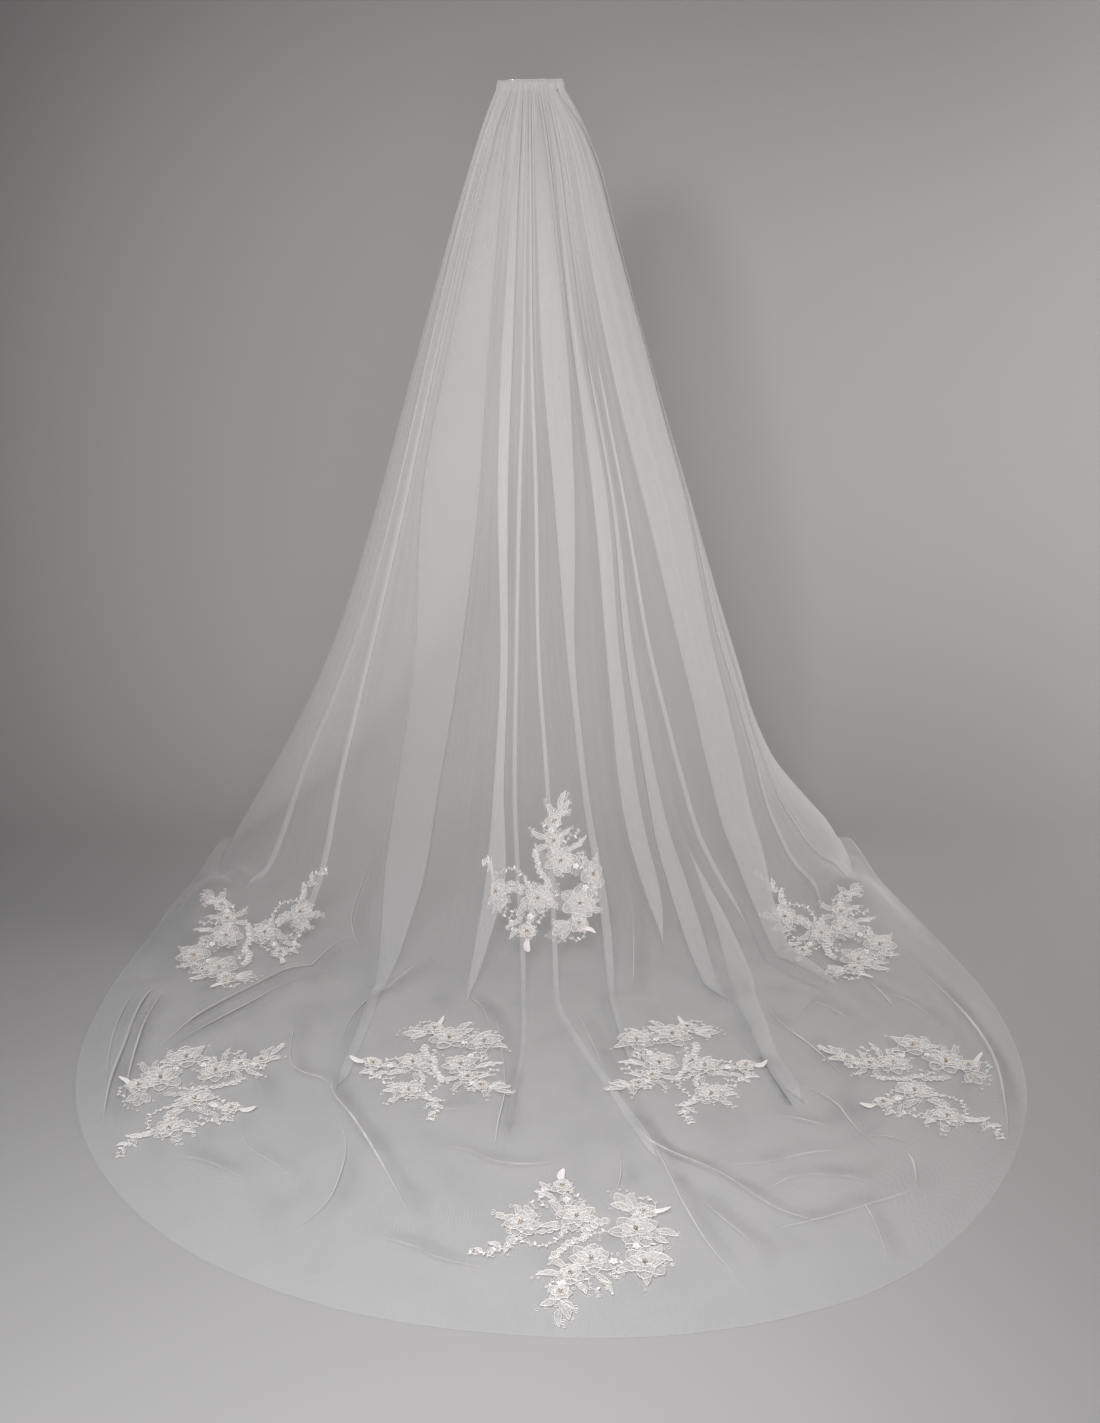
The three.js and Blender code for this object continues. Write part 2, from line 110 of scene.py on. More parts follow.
# How far down the cloth the stations lie: 0 at the band, 1 where the cloth meets the floor, 2 at the hem.
STATIONS = [0, 0.26, 0.42, 0.6, 0.75, 0.85, 0.92, 1.0, 1.15, 1.4, 2.0]

# Folds laid flat over themselves. At each station each has the angle of its middle and its width,
# in degrees. "rise" is how proud it stands in millimetres, "lap" which edge laps over, and "sheer" how much
# thinner than the rest its net looks.
FOLDS = table(
    "name lap rise from to middle width sheer",
    ("outer left", 1, 5, 0.06, 1.0,
     [-66, -62, -61, -61, -62, -57.5, -56, -57, -57, -57, -57],
     [2, 3, 3, 2, 2, 1.8, 1.4, 0.8, 0.6, 0.6, 0.6]),
    ("second left", -1, 6, 0.06, 1.02,
     [-52, -53, -52.5, -51.5, -47, -42, -41, -42.5, -43, -43, -43],
     [2, 3, 3, 2.4, 2, 1.8, 1.6, 1, 0.6, 0.6, 0.6]),
    ("wide left", 1, 9, 0.02, 1.45,
     [-33, -31.5, -31, -26.7, -25, -23.5, -23, -23.3, -21, -18, -15],
     [16, 22, 25, 14.7, 10, 7.9, 4.4, 1.7, 1.3, 0.9, 0.6], 0.52),
    ("narrow left", -1, 6, 0.02, 1.04,
     [-11, -11, -10, -7.2, -6.8, -6.3, -7.8, -9.3, -9, -8.5, -8.5],
     [3, 5.5, 4, 2.2, 2.2, 3.6, 2.2, 0.8, 0.6, 0.6, 0.6]),
    ("left of middle", 1, 4, 0.04, 1.5,
     [-4, -3, -3.8, -3.8, -3.4, -2.2, -1.2, -0.8, -0.6, -1.3, -1.6],
     [1, 1.6, 1.4, 1, 0.9, 0.8, 0.8, 0.7, 0.6, 0.5, 0.4]),
    ("thin middle", -1, 4, 0.04, 1.6,
     [1, 0.6, 2, 2.2, 3.8, 4, 4, 4.2, 5.8, 8.5, 12.5],
     [1, 1.6, 1.4, 1, 0.9, 0.8, 0.8, 0.8, 0.8, 0.7, 0.5]),
    ("right of middle", 1, 8, 0.02, 1.3,
     [9, 11.5, 12, 11, 12.2, 13, 12.6, 12.2, 11.4, 11, 14],
     [7, 13, 8, 2.4, 1.6, 1.6, 1.5, 1, 0.8, 0.6, 0.6], 0.15),
    ("narrow right", 1, 7, 0.02, 0.96,
     [20, 22.5, 25, 23, 22.5, 22.5, 21.9, 20, 19, 18, 18],
     [3, 4, 5.6, 4, 4.4, 3.6, 1.6, 0.8, 0.6, 0.6, 0.6]),
    ("second right", 1, 6, 0.3, 1.12,
     [25, 27.5, 30, 28, 28.6, 28, 27.5, 28.2, 27, 24, 20],
     [1, 1.4, 1.6, 2.4, 3, 4, 3.6, 2.4, 1, 0.6, 0.6]),
    ("floor right", -1, 6, 0.84, 1.54,
     [29, 30.5, 32.5, 32, 33.5, 33.2, 33.4, 33.8, 29.4, 24.4, 22],
     [0.8, 0.8, 0.8, 0.8, 0.8, 0.8, 2.4, 3.8, 3, 2.2, 0.6]),
    ("thin right", -1, 4, 0.3, 0.96,
     [32, 33, 34.5, 34.5, 37, 37, 38, 39, 39, 39, 39],
     [1, 1, 1, 1.2, 1.2, 1, 0.8, 0.6, 0.6, 0.6, 0.6]),
    ("wide right", -1, 9, 0.02, 1.3,
     [50, 57, 57, 53.5, 52.5, 47.5, 43.5, 43.5, 43, 41, 40],
     [24, 34, 28, 16, 13, 8.5, 4.4, 3, 1.2, 0.8, 0.8]),
    ("outer right", 1, 5, 0.06, 1.02,
     [78, 82, 79, 69, 69, 60, 56.6, 55.2, 52, 50, 50],
     [2, 3, 3, 2, 2, 1.8, 1.4, 0.8, 0.6, 0.6, 0.6]),
    ("far right", 1, 4, 0.6, 1.02,
     [84, 88, 86, 76, 75, 69, 66.8, 66, 64, 62, 62],
     [1, 1.4, 1.4, 1.2, 1.2, 1.2, 1, 0.8, 0.6, 0.6, 0.6]))
TURN = 0.72  # how far the cloth runs back on itself in a fold, as a share of the fold's width
TURN_AT = math.acos(-1 / (2 * math.pi * TURN)) / (2 * math.pi)
SHOWN_SHARE = 2 * (TURN_AT + TURN * math.sin(2 * math.pi * TURN_AT)) - 1

TURN_REACH = 0.16  # the share of a fold in which its columns are drawn together round each turn
TURN_PULL = 0.35  # how strongly
TURN_SPREAD = 0.12  # the share of a fold over which its height changes at a turn
FOLD_END = 0.08  # the way down over which a fold opens or closes
LEAST_WIDTH = 0.3  # degrees across a fold
LEAST_GAP = 0.4  # degrees between neighbouring folds
LAP_FADE = 3  # degrees over which the cloth beside a raised edge settles
SHEER_END = 1.05  # where the thin look of a fold is over, on the way down
SHEER_FADE = 0.35

# Small tucks pinched up in the lying cloth. Each runs through points given as (degrees around, how far down).
TUCKS = table(
    "width rise path",
    (15, 8, [(-48, 1.66), (-45.8, 1.73), (-40, 1.8), (-35.8, 1.88), (-32, 1.94)]),
    (12, 6, [(-47.5, 1.6), (-42.5, 1.7), (-37.5, 1.78), (-30.2, 1.9)]),
    (13, 8, [(-28.2, 0.924), (-34.6, 0.964), (-38.2, 1.073), (-38.4, 1.244), (-38.5, 1.392), (-38.4, 1.509),
     (-37.6, 1.621), (-36.7, 1.727)]),
    (10, 6, [(-33.6, 0.976), (-35.9, 1.112), (-35.9, 1.279), (-36.1, 1.427), (-36.4, 1.559), (-36.4, 1.683)]),
    (11, 7, [(-19.6, 1.33), (-18.2, 1.44), (-14.5, 1.52), (-11.5, 1.6), (-8.5, 1.7), (-6, 1.8)]),
    (8, 4, [(-19, 1.42), (-16.5, 1.5), (-13.8, 1.6), (-12.8, 1.72), (-13, 1.79), (-14, 1.87)]),
    (9, 6, [(-14.6, 0.931), (-19.4, 0.967), (-22.6, 1.023), (-23, 1.157), (-21.2, 1.288)]),
    (8, 6, [(-9.2, 0.98), (-7, 1.03), (-4.2, 1.12)]),
    (8, 6, [(-6, 0.97), (-3.6, 1.14), (-2.2, 1.33), (-2.4, 1.46), (-2.4, 1.58)]),
    (8, 5, [(-7.2, 1.53), (-4.5, 1.55), (-2.2, 1.58), (0.2, 1.58), (4, 1.55)]),
    (7, 4, [(-25.8, 1.85), (-22.5, 1.8), (-18.5, 1.78)]),
    (8, 6, [(-30, 1.22), (-27, 1.32), (-24.2, 1.41), (-22.2, 1.43), (-19.5, 1.42), (-16.8, 1.46)]),
    (10, 7, [(8.2, 1.33), (9.2, 1.49), (10.5, 1.56), (13.5, 1.65), (16.2, 1.78), (20, 1.86)]),
    (10, 6, [(7.4, 1.3), (8.5, 1.38), (9.8, 1.53), (10.2, 1.7), (10.8, 1.82), (12, 1.93)]),
    (7, 4, [(11.2, 1.66), (12.2, 1.75), (13.2, 1.83), (13, 1.9)]),
    (7, 4, [(5.8, 0.96), (7.2, 1.12), (8, 1.3), (8.5, 1.35)]),
    (6, 5, [(18.5, 0.86), (16.5, 0.93), (15.5, 1.0)]),
    (9, 7, [(31, 1.12), (29.5, 1.3), (29.5, 1.4), (29.2, 1.58)]),
    (8, 6, [(23.5, 1.45), (25.2, 1.5), (25.8, 1.58), (25.5, 1.65), (25.5, 1.78)]),
    (7, 5, [(20.5, 1.51), (22.5, 1.58), (24.5, 1.64)]), (6, 4, [(25.5, 1.68), (27, 1.73), (28, 1.78)]),
    (14, 6, [(27.2, 1.78), (26.4, 1.82), (25.2, 1.87)]),
    (16, 10, [(56, 1.5), (48, 1.73), (42.5, 1.86), (37, 1.93), (34, 1.97)]),
    (9, 5, [(45, 1.4), (44.8, 1.55), (43.5, 1.65), (42.2, 1.75)]),
    (8, 6, [(47, 1.28), (44, 1.43), (42, 1.54)]), (8, 4, [(41, 1.24), (36, 1.25), (30.5, 1.28)]),
    (9, 5, [(21.5, 1.8), (20.8, 1.88), (20, 1.96)]),
    (7, 4, [(-10, 1.81), (-6.5, 1.83), (-4.8, 1.85), (-1, 1.86)]),
    (7, 4, [(7, 1.46), (7, 1.58), (6.1, 1.67)]),
    (7, 5, [(-31, 0.82), (-31.5, 0.9), (-30.2, 0.93), (-28, 0.95)]),
    (6, 4, [(-11, 1.45), (-7.5, 1.43), (-3.5, 1.4)]),
    (8, 4, [(-52, 1.78), (-45, 1.84), (-38, 1.88), (-32, 1.93)]),
    (10, 4, [(14.5, 1.8), (18.5, 1.82), (22.2, 1.84), (27, 1.88)]),
    (8, 4, [(13, 1.6), (17, 1.64), (21, 1.66), (24, 1.7)]),
    (8, 4, [(15, 1.72), (18.5, 1.7), (22, 1.76), (23.5, 1.83)]),
    (7, 3, [(-33, 1.42), (-29, 1.5), (-25, 1.52), (-21, 1.6)]),
    (7, 3, [(-24, 1.62), (-21, 1.7), (-17, 1.72), (-14, 1.78)]),
    (8, 4, [(33, 1.1), (36, 1.22), (37, 1.36), (36, 1.48)]), (7, 4, [(24, 1.2), (23, 1.32), (24, 1.44)]))
TUCK_STEP = 12  # millimetres between the points along a tuck
TUCK_FEWEST = 10  # points along the shortest tuck
TUCK_FULL = 7  # millimetres of rise from which on a tuck shows in full
TUCK_LEAN = 0.35  # how far a tuck leans over, as a share of its rise
TUCK_COLUMNS = 9
TUCK_SHARE = 0.75  # of its stated width that a tuck takes up
SWELL_SHARE = 1.3  # how high the cloth lifts under a tuck, as a share of the tuck's own rise
SWELL_SPREAD = 27  # millimetres
SWELL_REACH = 2.5 * SWELL_SPREAD
CREST_AT = -0.15  # where the painted highlight on a tuck's crest runs: -1 and 1 are the tuck's edges
CREST_WIDTH = 0.33
CREASE_AT = 0.62  # where the painted shade of the crease beside it runs
CREASE_WIDTH = 0.28

SHADE_REACH = 90  # millimetres to each side that the painted shade beside a tuck reaches
SHADE_END = 12  # millimetres over which the painted shade dies away past a tuck's ends
# Painted light and shade beside each tuck, put into the cloth's colour: how far off the tuck and how wide, in
# millimetres, and how much lighter or darker it is painted.
TUCK_PAINTED_SHADING = table("off width tone", (17, 17, -0.42), (52, 26, 0.12), (-18, 16, 0.24))

# Gathers that run out of the band and die away down the cloth: their depth in millimetres, the extra layers
# of cloth in them, and the painted shade put into the cloth's colour among them, darkest next to the band.
GATHERS = 46  # from edge to edge
GATHER_DEPTH = {"level": [0, 1, 3, 5, 8, 14, 15], "value": [1.5, 4, 3.4, 1.8, 0.8, 0, 0]}
GATHER_WHITE = {"level": [0, 1, 2, 3.4, 5, 8, 12, 15], "value": [2.4, 2.0, 1.3, 0.6, 0.28, 0.12, 0.05, 0]}
GATHER_PAINTED_SHADE = {"level": [0, 2, 4, 6, 15], "value": [-0.38, -0.29, -0.15, -0.03, 0]}
# Two slow beats that make the gathers uneven: size, speed and start.
GATHER_BEATS = [(0.3, 0.31, 1), (0.25, 0.137, 2)]

# Broad soft waves that cross each other in the lying cloth: millimetres from crest to crest, the heading
# across them in degrees, how far each wanders, and its share of the whole.
WAVES = table(
    "length heading wander share",
    (230, 20, 1.6, 0.32), (160, 65, 2.1, 0.26), (125, 140, 1.3, 0.24), (80, 170, 1.8, 0.18))
WAVE_RISE = 6  # millimetres
WAVE_PAINTED_SHADING = 0.17  # how strongly their slopes are painted lighter and darker in the cloth's colour: painted light and shade
WAVE_START, WAVE_LEVELS = 13.0, 1.2  # the level where the waves begin, and levels to their full strength
CALM_START, CALM_LEVELS, CALM_SHARE = 14.8, 0.2, 0.7  # the same for the calmer strip along the hem

# The rows and columns of the cloth: where the rows lie, how many there are, and the columns in each fold and
# in all the plain cloth between.
ROWS = {"down": [0, 0.04, 0.15, 1, 2], "share": [0, 0.045, 0.12, 0.69, 1]}
ROW_COUNT = 216
FOLD_COLUMNS = 13
OPEN_COLUMNS = 230


def smooth(stations, values, at):
    """A smooth curve through values at the given stations."""
    x0, y0 = np.asarray(stations, float), np.asarray(values, float)
    last = len(x0) - 1
    before, after = np.maximum(np.arange(last + 1) - 1, 0), np.minimum(np.arange(last + 1) + 1, last)
    slope = (y0[after] - y0[before]) / (x0[after] - x0[before])
    x = np.clip(np.asarray(at, float), x0[0], x0[-1])
    i = np.clip(np.searchsorted(x0, x, side="right") - 1, 0, last - 1)
    span = x0[i + 1] - x0[i]
    s = (x - x0[i]) / span
    blend = s * s * (3 - 2 * s)
    leave = s * (1 - s) ** 2 * span * slope[i]
    arrive = -s * s * (1 - s) * span * slope[i + 1]
    return y0[i] + (y0[i + 1] - y0[i]) * blend + leave + arrive


def unit(vectors):
    """Vectors of length 1."""
    return vectors / np.linalg.norm(vectors, axis=-1, keepdims=True)


def run_length(points):
    """How far each point of a line lies along it."""
    return np.concatenate([[0], np.cumsum(np.linalg.norm(np.diff(points, axis=0), axis=-1))])


def ease(x):
    """0 below 0, 1 above 1 and a smooth step between."""
    x = np.clip(x, 0, 1)
    return x * x * (3 - 2 * x)


def plain_cloth(around, level):
    """The cloth without folds: points in millimetres for angles around and levels."""
    around, level = np.broadcast_arrays(np.asarray(around, float), np.asarray(level, float))
    angle = np.radians(around)
    levels = range(len(SECTIONS))
    left, right, front, height = (
        smooth(levels, [row[name] for row in SECTIONS], level) for name in ("left", "right", "front", "height")
    )
    share = 0.5 * (1 + np.tanh(np.sin(angle) / MIDDLE_BLEND))
    side = left * (1 - share) + right * share
    reach = smooth(HEM["around"], HEM["reach"], around)
    lying = np.clip(level - FLOOR_LEVEL, 0, 1)
    x = (side + (reach - side) * lying) * np.sin(angle)
    y = FOOT_Y - (front + (reach - front) * lying) * np.cos(angle)
    within = ease((level - MOUND_START) / MOUND_LEVELS) * ease((HEM_LEVEL - level) / MOUND_END)
    for mound in MOUNDS:
        away = np.hypot(x - mound["x"], y - mound["y"]) / mound["spread"]
        height = height + mound["height"] * within * np.exp(-away * away)
    return np.stack([x, y, height - PIN_HEIGHT], axis=-1)


def cloth_out(around, level):
    """The direction out of the plain cloth."""
    across = plain_cloth(around + 0.4, level) - plain_cloth(around - 0.4, level)
    up = plain_cloth(around, np.maximum(level - 0.04, 0)) - plain_cloth(around, np.minimum(level + 0.04, HEM_LEVEL))
    return unit(np.cross(across, up))


FINE_LEVELS = np.linspace(0, HEM_LEVEL, 601)
RUN = run_length(plain_cloth(0, FINE_LEVELS))
FINE_DOWN = np.where(FINE_LEVELS > FLOOR_LEVEL, FINE_LEVELS - FLOOR_LEVEL + 1,
                     RUN / np.interp(FLOOR_LEVEL, FINE_LEVELS, RUN))


def level_at(down):
    """The level at a place down the cloth."""
    return np.interp(down, FINE_DOWN, FINE_LEVELS)


def fold_row(fold, down):
    """Left end, right end and strength of a fold at each place down the cloth."""
    middle = smooth(STATIONS, fold["middle"], down)
    width = np.maximum(smooth(STATIONS, fold["width"], down), LEAST_WIDTH)
    strength = ease((down - fold["from"]) / FOLD_END + 0.5) * ease((fold["to"] - down) / FOLD_END)
    full = width / SHOWN_SHARE
    return middle - full / 2, middle + full / 2, strength


def make_room(ends):
    """Keep a strip of plain cloth between neighbouring folds."""
    for k in range(len(ends) - 1):
        (left, right, strength), (next_left, next_right, next_strength) = ends[k], ends[k + 1]
        over = np.maximum(right - next_left + LEAST_GAP, 0) / 2
        ends[k] = (left, right - over, strength)
        ends[k + 1] = (next_left + over, next_right, next_strength)
    return ends


def fold_stations():
    """Places across a fold, close together where the cloth turns back."""
    even = np.linspace(0, 1, FOLD_COLUMNS)
    for _ in range(3):
        pull = np.zeros_like(even)
        for turn in (TURN_AT, 1 - TURN_AT):
            pull += (turn - even) * np.exp(-(((even - turn) / TURN_REACH) ** 2)) * TURN_PULL
        even = even + pull
    even[0], even[-1] = 0, 1
    return np.sort(even)


def tuck_path(tuck):
    """Angles, levels, points and heights, from 0 to 1, along a tuck."""
    turns, downs = zip(*tuck["path"])
    stations = np.linspace(0, 1, len(turns))

    def places(s):
        around = smooth(stations, turns, s)
        level = level_at(smooth(stations, downs, s))
        return around, level, plain_cloth(around, level)

    length = run_length(places(np.linspace(0, 1, 50))[2])[-1]
    s = np.linspace(0, 1, max(int(length / TUCK_STEP), TUCK_FEWEST))
    return *places(s), np.sin(np.pi * s) ** 0.8


def beside(points, path, reach):
    """Which points lie in the box round a path."""
    return np.all((points > path.min(axis=0) - reach) & (points < path.max(axis=0) + reach), axis=-1)


def tuck_aside(path, out):
    """The direction across a tuck at each of its points."""
    return unit(np.cross(out, np.gradient(path, axis=0)))


def swell(points):
    """How far the cloth lifts round its tucks."""
    total = np.zeros(points.shape[:-1])
    for tuck in TUCKS:
        _, _, path, height = tuck_path(tuck)
        near = beside(points, path, SWELL_REACH)
        away = np.linalg.norm(points[near][:, None, :] - path[None, :, :], axis=-1)
        lift = height[None, :] * np.exp(-((away / SWELL_SPREAD) ** 2))
        total[near] = np.maximum(total[near], tuck["rise"] * SWELL_SHARE * lift.max(axis=1))
    return total


def tuck_painted_shading(points):
    """The painted shade beside its tucks and the painted light before them: how much darker or lighter the cloth's
    colour is made.
    """
    total = np.zeros(points.shape[:-1])
    for tuck in TUCKS:
        around, level, path, height = tuck_path(tuck)
        aside = tuck_aside(path, cloth_out(around, level))
        near = beside(points, path, SHADE_REACH)
        away = points[near][:, None, :] - path[None, :, :]
        nearest = np.linalg.norm(away, axis=-1).argmin(axis=1)
        away = away[np.arange(len(away)), nearest]
        off = (away * aside[nearest]).sum(axis=-1)
        past = np.linalg.norm(away - off[:, None] * aside[nearest], axis=-1)
        strength = height[nearest] * np.exp(-((past / SHADE_END) ** 2)) * tuck["rise"] / TUCK_FULL
        for shade in TUCK_PAINTED_SHADING:
            total[near] += shade["tone"] * strength * np.exp(-(((off - shade["off"]) / shade["width"]) ** 2))
    return total


def tuck_strip(tuck):
    """A tuck's own small fold, standing on the swell of the cloth: a grid of points in millimetres, and how
    strongly its crest takes a painted highlight and its crease painted shade, which also add gathered cloth."""
    around, level, path, height = tuck_path(tuck)
    out = cloth_out(around, level)
    aside = tuck_aside(path, out)
    v = np.linspace(-1, 1, TUCK_COLUMNS)[None, :]
    rise = tuck["rise"] * height[:, None]
    lean = TUCK_LEAN * rise * (1 - v * v)
    sideways = TUCK_SHARE * tuck["width"] / 2 * (0.25 + 0.75 * height[:, None]) * v + lean
    lift = 1.0 + rise * (SWELL_SHARE + (1 - v * v) ** 0.8 * 0.9)
    points = path[:, None, :] + aside[:, None, :] * sideways[..., None] + out[:, None, :] * lift[..., None]
    wander = np.sin(np.linspace(0, 9, len(path)) + len(path))[:, None]
    uneven = min(tuck["rise"] / TUCK_FULL, 1) * (0.75 + 0.25 * wander)
    # crest is where the painted highlight lies, and crease where the painted shade lies.
    crest, crease = (uneven * np.exp(-(((v - middle) / width) ** 2)) * ease(height[:, None] * 1.1)
                     for middle, width in ((CREST_AT, CREST_WIDTH), (CREASE_AT, CREASE_WIDTH)))
    return points, crest, crease


def waves(points, level):
    """How far the broad waves lift the lying cloth, and the painted light and shade on their slopes, put into its
    colour.
    """
    calm = CALM_SHARE * ease((level - CALM_START) / CALM_LEVELS)
    strength = ease((level - WAVE_START) / WAVE_LEVELS) * (1 - calm)
    x, y = points[..., 0], points[..., 1]
    lift, tone = 0, 0
    for row in WAVES:
        heading, turn = math.radians(row["heading"]), 2 * np.pi / row["length"]
        ahead = (x * math.cos(heading) + y * math.sin(heading)) * turn
        aside = (y * math.cos(heading) - x * math.sin(heading)) * turn
        phase = ahead + row["wander"] * np.sin(0.6 * aside + row["length"])
        lift = lift + row["share"] * (0.5 + 0.5 * np.sin(phase))
        # Painted light and shade: each wave's slopes are made lighter or darker.
        tone = tone + row["share"] * np.cos(phase)
    return WAVE_RISE * strength * lift, WAVE_PAINTED_SHADING * strength * tone


def folded_columns(fall):
    """The cloth's columns at each place down it, from edge to edge: their angles, how far the folds lift them
    and how much thinner their net looks."""
    ends = make_room([fold_row(fold, fall) for fold in FOLDS])
    across = fold_stations()[None, :]
    run = TURN * np.sin(2 * np.pi * across)
    turned = sum(ease((across - turn) / TURN_SPREAD + 0.5) for turn in (TURN_AT, 1 - TURN_AT)) - 1
    starts = [np.full_like(fall, -EDGE_AROUND)] + [right for _, right, _ in ends]
    stops = [left for left, _, _ in ends] + [np.full_like(fall, EDGE_AROUND)]
    middle = ROW_COUNT // 2
    spans = np.array([float(stop[middle, 0] - start[middle, 0]) for start, stop in zip(starts, stops)])
    counts = np.maximum(np.round(OPEN_COLUMNS * spans / spans.sum()), 4).astype(int)
    around, offset, sheer = [], [], []
    for k, count in enumerate(counts):
        first, last = k == 0, k == len(FOLDS)
        s = np.linspace(0, 1, count + 2)[None, (0 if first else 1):(None if last else -1)]
        angle = starts[k] + (stops[k] - starts[k]) * s
        lift = np.zeros_like(angle)
        if not first:
            fold, (_, right, strength) = FOLDS[k - 1], ends[k - 1]
            lift += fold["rise"] / 2 * (1 + fold["lap"]) * strength * np.exp(-np.abs(angle - right) / LAP_FADE)
        if not last:
            fold, (left, right, strength) = FOLDS[k], ends[k]
            lift += fold["rise"] / 2 * (1 - fold["lap"]) * strength * np.exp(-np.abs(left - angle) / LAP_FADE)
        around.append(angle)
        offset.append(lift)
        sheer.append(np.zeros_like(angle))
        if not last:
            around.append(left + (right - left) * (across + strength * run))
            offset.append(fold["rise"] / 2 * strength * (1 + fold["lap"] * turned))
            thin = fold.get("sheer", 0) * strength * ease((SHEER_END - fall) / SHEER_FADE)
            sheer.append(np.repeat(thin, FOLD_COLUMNS, axis=1))
    return [np.hstack(parts) for parts in (around, offset, sheer)]


def drape():
    """The folded cloth: a grid of points, how far across and down the flat cloth each lies, how much is
    gathered at each, and the painted light and shade in its colour."""
    fall = np.interp(np.linspace(0, 1, ROW_COUNT), ROWS["share"], ROWS["down"])[:, None]
    around, offset, sheer = folded_columns(fall)
    level = np.broadcast_to(level_at(fall), around.shape)
    base = plain_cloth(around, level)
    across = run_length(base[int(ROW_COUNT * 0.6)])
    turn = across / across[-1] * GATHERS * 2 * np.pi
    beat = sum((size * np.sin(turn * speed + start) for size, speed, start in GATHER_BEATS), 0.7)
    crest = (0.5 + 0.5 * np.cos(turn)) ** 2
    # shade is the painted shade among the gathers near the band.
    deep, white, shade = (smooth(rows["level"], rows["value"], level) for rows in (GATHER_DEPTH, GATHER_WHITE,
                                                                                   GATHER_PAINTED_SHADE))
    # tone is the painted light and shade on the waves' slopes.
    lift, tone = waves(base, level)
    offset = offset + deep * (beat * crest - 0.5)[None, :] + swell(base) + lift
    points = base + cloth_out(around, level) * offset[..., None]
    points[0] = points[1] * [1, 1, 0] + [0, 0, BAND_DROP]
    points[0, :, 2] += BAND_TILT * np.sin(np.radians(around[0]))
    down = run_length(plain_cloth(np.zeros(ROW_COUNT), level[:, 0]))
    # The last value is painted light and shade: the waves', the painted shade by the band and beside the tucks, and
    # the painted light before them.
    return points * MM, across * MM, down * MM, white - sheer, tone + shade + tuck_painted_shading(base)


def mesh_object(name, points, faces, edges=(), uv=None, attributes=None):
    """A smooth mesh object from points, faces and edges, with its own UV map and point attributes."""
    mesh = bpy.data.meshes.new(name)
    mesh.from_pydata(points, edges, faces)
    if uv is not None:
        index = np.empty(len(mesh.loops), dtype=np.int32)
        mesh.loops.foreach_get("vertex_index", index)
        mesh.uv_layers.new(name="flat").data.foreach_set("uv", uv[index].ravel())
    for key, values in (attributes or {}).items():
        mesh.attributes.new(key, "FLOAT", "POINT").data.foreach_set("value", np.asarray(values, float))
    mesh.polygons.foreach_set("use_smooth", np.ones(len(mesh.polygons), bool))
    mesh.update()
    piece = bpy.data.objects.new(name, mesh)
    bpy.context.scene.collection.objects.link(piece)
    return piece


def grid_faces(rows, columns):
    """Faces of a grid of points, row by row."""
    i, j = np.meshgrid(np.arange(rows - 1), np.arange(columns - 1), indexing="ij")
    a = (i * columns + j).ravel()
    return np.stack([a, a + columns, a + columns + 1, a + 1], axis=-1)


def node(tree, kind, inputs=None, **settings):
    """A node with its settings, and with values or links on its inputs."""
    made = tree.nodes.new(kind)
    for key, value in settings.items():
        setattr(made, key, value)
    for key, value in (inputs or {}).items():
        if isinstance(value, bpy.types.NodeSocket):
            tree.links.new(value, made.inputs[key])
        else:
            made.inputs[key].default_value = value
    return made


def math_node(tree, operation, *values, clamp=False):
    return node(tree, "ShaderNodeMath", dict(enumerate(values)), operation=operation, use_clamp=clamp).outputs[0]


def new_group(name, inputs, outputs, kind="ShaderNodeTree"):
    """A node group with named sockets, and its input and output nodes."""
    group = bpy.data.node_groups.new(name, kind)
    for way, sockets in (("INPUT", inputs), ("OUTPUT", outputs)):
        for label, socket, *default in sockets:
            made = group.interface.new_socket(label, in_out=way, socket_type="NodeSocket" + socket)
            if default:
                made.default_value = default[0]
    return group, group.nodes.new("NodeGroupInput"), group.nodes.new("NodeGroupOutput")


def net_group():
    """Diamond net: 1 on the threads and 0 in the holes."""
    group, given, result = new_group(
        "Tulle net", [("Vector", "Vector"), ("Mesh width", "Float", 0.0018), ("Thread share", "Float", 0.3)],
        [("Threads", "Float")])
    split = node(group, "ShaderNodeSeparateXYZ", {"Vector": given.outputs["Vector"]})
    zigzags = []
    for operation in ("ADD", "SUBTRACT"):
        along = math_node(group, operation, split.outputs["X"], split.outputs["Y"])
        turns = math_node(group, "DIVIDE", along, given.outputs["Mesh width"])
        folded = math_node(group, "PINGPONG", turns, 0.5)
        zigzags.append(math_node(group, "MULTIPLY", folded, 2.0))
    nearest = math_node(group, "MINIMUM", *zigzags)
    mask = math_node(group, "LESS_THAN", nearest, given.outputs["Thread share"])
    group.links.new(mask, result.inputs["Threads"])
    return group


def new_material(name, finish=None):
    """A material with one shader, and the constants of its finish set on that shader."""
    material = bpy.data.materials.new(name)
    material.use_nodes = True
    tree = material.node_tree
    tree.nodes.clear()
    shader = node(tree, "ShaderNodeBsdfPrincipled", finish)
    output = node(tree, "ShaderNodeOutputMaterial", {"Surface": shader.outputs["BSDF"]})
    output.is_active_output = True
    return material, tree, shader


NET_DRIFT = 0.004  # how far the net wanders, in metres
THREAD_SHARE = 0.34  # of a mesh's width
THREAD_COVER = 0.28  # how much more the threads hide than the holes
HOLE_COVER = 0.84
MOST_COVER = 0.9  # of the view, however closely the cloth is gathered
LEAST_FACING = 0.14  # a layer seen edge-on counts as no more than one over this


